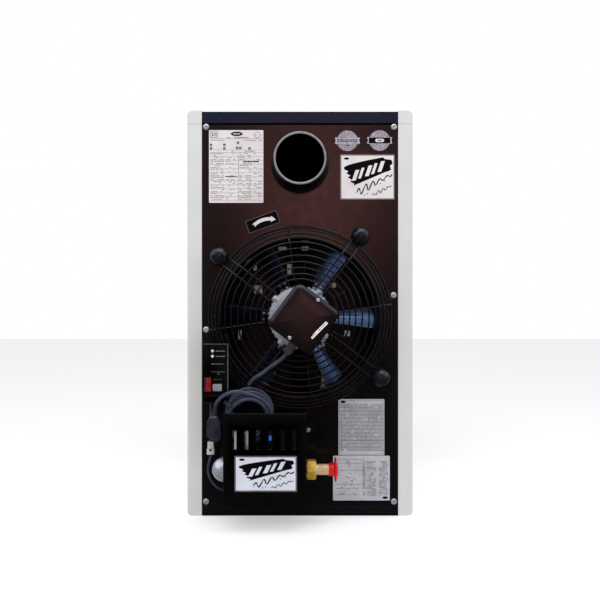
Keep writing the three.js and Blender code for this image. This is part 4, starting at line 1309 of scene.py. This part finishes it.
def flourish(label, start, end, waves, tall, thick):
    """A line of brush strokes along a rising base line: plain waves, thick and thin by turns."""
    steps = 16 * waves
    line = []
    for share in shares(steps):
        base = Vector(start).lerp(Vector(end), share)
        swing = math.sin(2 * math.pi * waves * share) * tall * (0.65 + 0.35 * math.cos(5.2 * share + waves))
        line.append(base + Vector((0.18 * swing, swing)))
    weight = [thick * (0.55 + 0.45 * abs(math.sin(0.35 * k))) for k in range(steps + 1)]
    sides = []
    for k, point in enumerate(line):
        along = (line[min(k + 1, steps)] - line[max(k - 1, 0)]).normalized()
        sides.append((point + along.orthogonal() * weight[k], point - along.orthogonal() * weight[k]))
    for (a, b), (c, d) in zip(sides, sides[1:]):
        label.shape([a, b, d, c], INK, 2)


def promo_label(name, x, z, proud, seed, paper):
    """A sticker in a clear border: a brushed band with plain slanted bars, and brush flourishes under it."""
    label, half_u, half_v = plate_over(x, z, proud, seed)
    border = 2.6
    label.sheet(half_u, half_v, FOIL, 0, 1.5)
    half_u, half_v = half_u - border, half_v - border
    label.sheet(half_u, half_v, PAPER, 1, 0.8)
    label.shape(brush_band(label.rng, half_u, half_v), INK, 2)
    for k, foot in enumerate((-0.6, -0.36, -0.1, 0.14, 0.38)):
        base = half_v * (-0.18 + 0.42 * (foot + 0.6))
        tall, wide = half_v * 0.52, half_u * (0.11 if k % 2 else 0.15)
        slant = half_u * 0.14
        foot *= half_u
        bar_points = ((foot, base), (foot + wide, base + 0.1 * wide), (foot + wide + slant, base + tall),
                      (foot + slant, base + tall - 0.1 * wide))
        label.shape([Vector(point) for point in bar_points], PAPER, 3)
    flourish(label, (-half_u * 0.42, -half_v * 0.74), (half_u * 0.95, half_v * 0.14), 5, half_v * 0.19, 1.3)
    flourish(label, (half_u * 0.18, -half_v * 0.86), (half_u * 0.93, -half_v * 0.4), 4, half_v * 0.09, 0.85)
    for u, v in ((-0.1, -0.84), (0.0, -0.78), (0.5, -0.3), (0.66, -0.18)):
        label.dot(half_u * u, half_v * v, 1.1, INK)
    label.oval(half_u * -0.8, half_v * 0.86, 5, 2.2, INK, 3)
    label.done(name, [paper, "label_ink", "label_grey_ink", "label_film"])


def seal_badge(name, x, z, dark_band):
    """A round badge with a scalloped edge and a plain band across it."""
    label = Print(x, z, 0.3)
    lobes, sides = 26, 156
    label.shape([polar(19.8 + 0.8 * math.cos(lobes * a), a) for a in circle(sides)], FOIL, 0)
    for layer, (radius, material) in enumerate(((18.2, GREY), (17.3, FOIL), (10.6, GREY), (9.8, FOIL))):
        label.dot(0, 0, radius, material, layer + 1, 64)
    marks = 18
    for k in range(marks):
        a = 2 * math.pi * (k + 0.5) / marks
        if abs(math.sin(a)) > 0.5:
            label.dot(14 * math.cos(a), 14 * math.sin(a), 1.5, GREY, 5, 10)
    notch = [(-26, -5.6), (-22.6, -7), (22.6, -7), (26, -5.6), (24, 0), (26, 6.4), (22.6, 7), (-22.6, 7),
             (-26, 6.4), (-24, 0)]
    for layer, (shrink, material) in enumerate(((1.0, INK), (0.95, FOIL))):
        label.shape([Vector((u * shrink, v * shrink)) for u, v in notch], material, 6 + layer)
    if dark_band:
        label.box((-21, 21), (-5.6, 5.6), INK, 8)
        label.sheet(8.5, 3.2, PAPER, 9, 3)
        label.sheet(4.6, 0.9, INK, 10, 0.8)
    else:
        for k in range(8):
            label.box((-20 + 5.1 * k, -16.6 + 5.1 * k), (-2.8, 2.8), INK, 8)
            label.box((-19.2 + 5.1 * k, -17.6 + 5.1 * k), (-1.2, 1.2), FOIL, 9)
        label.box((-4, 4), (-10.4, -8.6), INK, 6)
    label.done(name, ["label_paper", "label_ink", "label_grey_ink", "badge_silver"])


def arrow_label():
    """The turning-direction label: a bent white arrow on black."""
    label = Print(-72.7, 573, 0.3, tilt=20)
    label.sheet(32, 12.4, GREY, 0, 1)
    label.sheet(31.3, 11.7, INK, 1, 0.8)
    radius, thick, middle = 44.0, 3.3, (0, -40.5)
    angles = [math.radians(117 - 50 * share) for share in shares(16)]
    outer, inner = ([polar(radius + side, a, middle) for a in angles] for side in (thick, -thick))
    tip = polar(radius, angles[-1], middle) + Vector((8.5, -4.4))
    barb_out = outer[-1] + (outer[-1] - inner[-1]).normalized() * 2.6
    barb_in = inner[-1] - (outer[-1] - inner[-1]).normalized() * 2.6
    notch = (outer[0] + inner[0]) / 2 + Vector((3.4, 1.4))
    label.shape(outer + [barb_out, tip, barb_in] + inner[::-1] + [notch], PAPER, 2)
    label.done("turning_arrow_label", ["label_paper", "label_ink", "label_grey_ink"])


rating_label()
seal_badge("seal_badge_left", 92.4, 731, False)
seal_badge("seal_badge_right", 155.2, 731.6, True)
promo_label("promo_label_upper", (78, 185), (616, 704.7), 0.3, 2, "label_paper")
COVER_FACE = spans("valve_cover")[2][1] - 0.25
promo_label("promo_label_cover", (-117, -5.4), (78.2, 142.4), COVER_FACE, 5, "label_cool_paper")
arrow_label()
notice_label("notice_label_upper", (75, 164.4), (117.8, 227.4), 11, 34, ((-0.92, 0.94, 0.96),), (-1, 1),
             rules=((-0.47, 0.92),), frame=True)
notice_label("notice_label_lower", (64.4, 175), (29.8, 117), 12, 30,
             ((-0.94, -0.2, 0.13), (0.04, 0.16, 0.8), (0.2, 0.52, 0.8), (0.62, 0.94, 0.75)), (1, -1),
             rules=((0.84, 0.1), (0.66, 0.1), (0.35, 0.1), (-0.27, 0.1), (-0.46, -0.1), (-0.74, -0.1)))

type_plate = Print(34.5, 366.3, 105.1, seed=3, tilt=45)
type_plate.sheet(20, 2.8, PAPER, 1, 0.8)
type_plate.words((-17, 17), 0.4, 1.3, GREY)
type_plate.done("type_plate", ["label_paper", "label_ink", "label_grey_ink"])

# ---------------------------------------------------------------- control box


def control_fascia():
    """The fascia, its printed legend and the light edge lines round it."""
    refined("control_fascia", 0.5)
    (left, right), (_, top), (_, face) = spans("control_fascia")
    legend = Print(0, 0, face - 0.02, seed=6)
    legend.box((right - 1.5, right - 0.5), (top - 98, top - 0.8), 2)
    legend.box((left + 1, right - 0.5), (top - 1.3, top - 0.6), 2)
    for z in (326.1, 316.3):
        legend.words((-156, -139), z, 1.6, 0, 1.0)
    legend.words((-164, -141), 302.2, 1.2, 0, 1.0)
    legend.words((-164, -138), 287.8, 1.8, 1, 1.0)
    legend.box((-152.4, -149.2), (282.4, 286.2), 1)
    legend.words((-160, -145), 273.4, 1.4, 1, 0.9)
    legend.done("control_legend", ["legend_grey", "legend_green", "label_grey_ink"])


def power_rocker():
    """A lit rocker with its upper half pressed in, and a moulded bar and ring on its halves."""
    x, (bottom, top), _ = spans("power_rocker")
    z, half = (bottom + top) / 2, (top - bottom) / 2
    outline = fillet([(63, z - half, 0.3), (73.5, z - half + 0.1, 1.0), (70.2, z, 4),
                      (69.3, z + half - 0.4, 0.8), (61, z + half - 1.0, 0.3)], 5)
    bm = bmesh.new()
    prism(bm, outline, sideways, x)
    bar(bm, (-171.5, -170.5), (z + 4, z + 9.5), (69.0, 69.85), 1)
    hoop(bm, [(1.4, 71.8), (2.2, 71.8), (2.2, 72.35), (1.4, 72.35)], facing, (-171, z - 6), 24, 1)
    # A black strip over the rocker's left end is painted shadow cast by the left side panel's edge.
    prism(bm, [Vector((p.x + 0.12, p.y)) for p in outline], sideways, (x[0] - 0.02, x[0] + 3.4), 2)
    stand_in("power_rocker", bm, "red_rocker", "red_cap", "rubber", bevel=0.5, segments=3)


def reset_button():
    x, z, _ = spans("reset_button")
    middle, half = middles((x, z)), [(high - low) / 2 for low, high in (x, z)]
    bm = bmesh.new()
    stacked(bm, facing, *half, 1.6, [(0, 62), (0, 70.6), (0.5, 71.6), (1.3, 72), (2.4, 71.6), (3.4, 71.4)],
            middle=middle)
    for k in (-1, 0, 1):
        z = middle[1] + 2.2 * k
        bar(bm, (middle[0] - 4.5, middle[0] + 4.5), (z - 0.45, z + 0.45), (71.3, 71.8))
    stand_in("reset_button", bm, "button_grey", bevel=0.2)


def indicator_lens(node):
    x, z, _ = centre_of(node)
    bm = bmesh.new()
    turned(bm, [(2.7, 64), (2.75, 69), (2.5, 69.6), (2.1, 70.1), (1.5, 70.45), (0.8, 70.65), (0, 70.7)],
           facing, (x, z), 32)
    hoop(bm, [(2.75, 68.9), (3.9, 68.9), (3.9, 69.3), (3.3, 69.7), (2.75, 69.7)], facing, (x, z), 32, 1)
    stand_in(node, bm, "lens", "dark_metal", sharp=45)


refined("control_box", 0.4)
control_fascia()
power_rocker()
reset_button()
for which in ("upper", "lower"):
    indicator_lens(f"indicator_lens_{which}")

# A spare fixing hole in the back panel, closed by a black plug.
bm = bmesh.new()
turned(bm, [(3.2, 0.1), (3.2, 0.6), (2.4, 1.0), (0, 1.1)], facing, (-182, 349), 28)
made("panel_hole_plug", bm, ["rubber"])
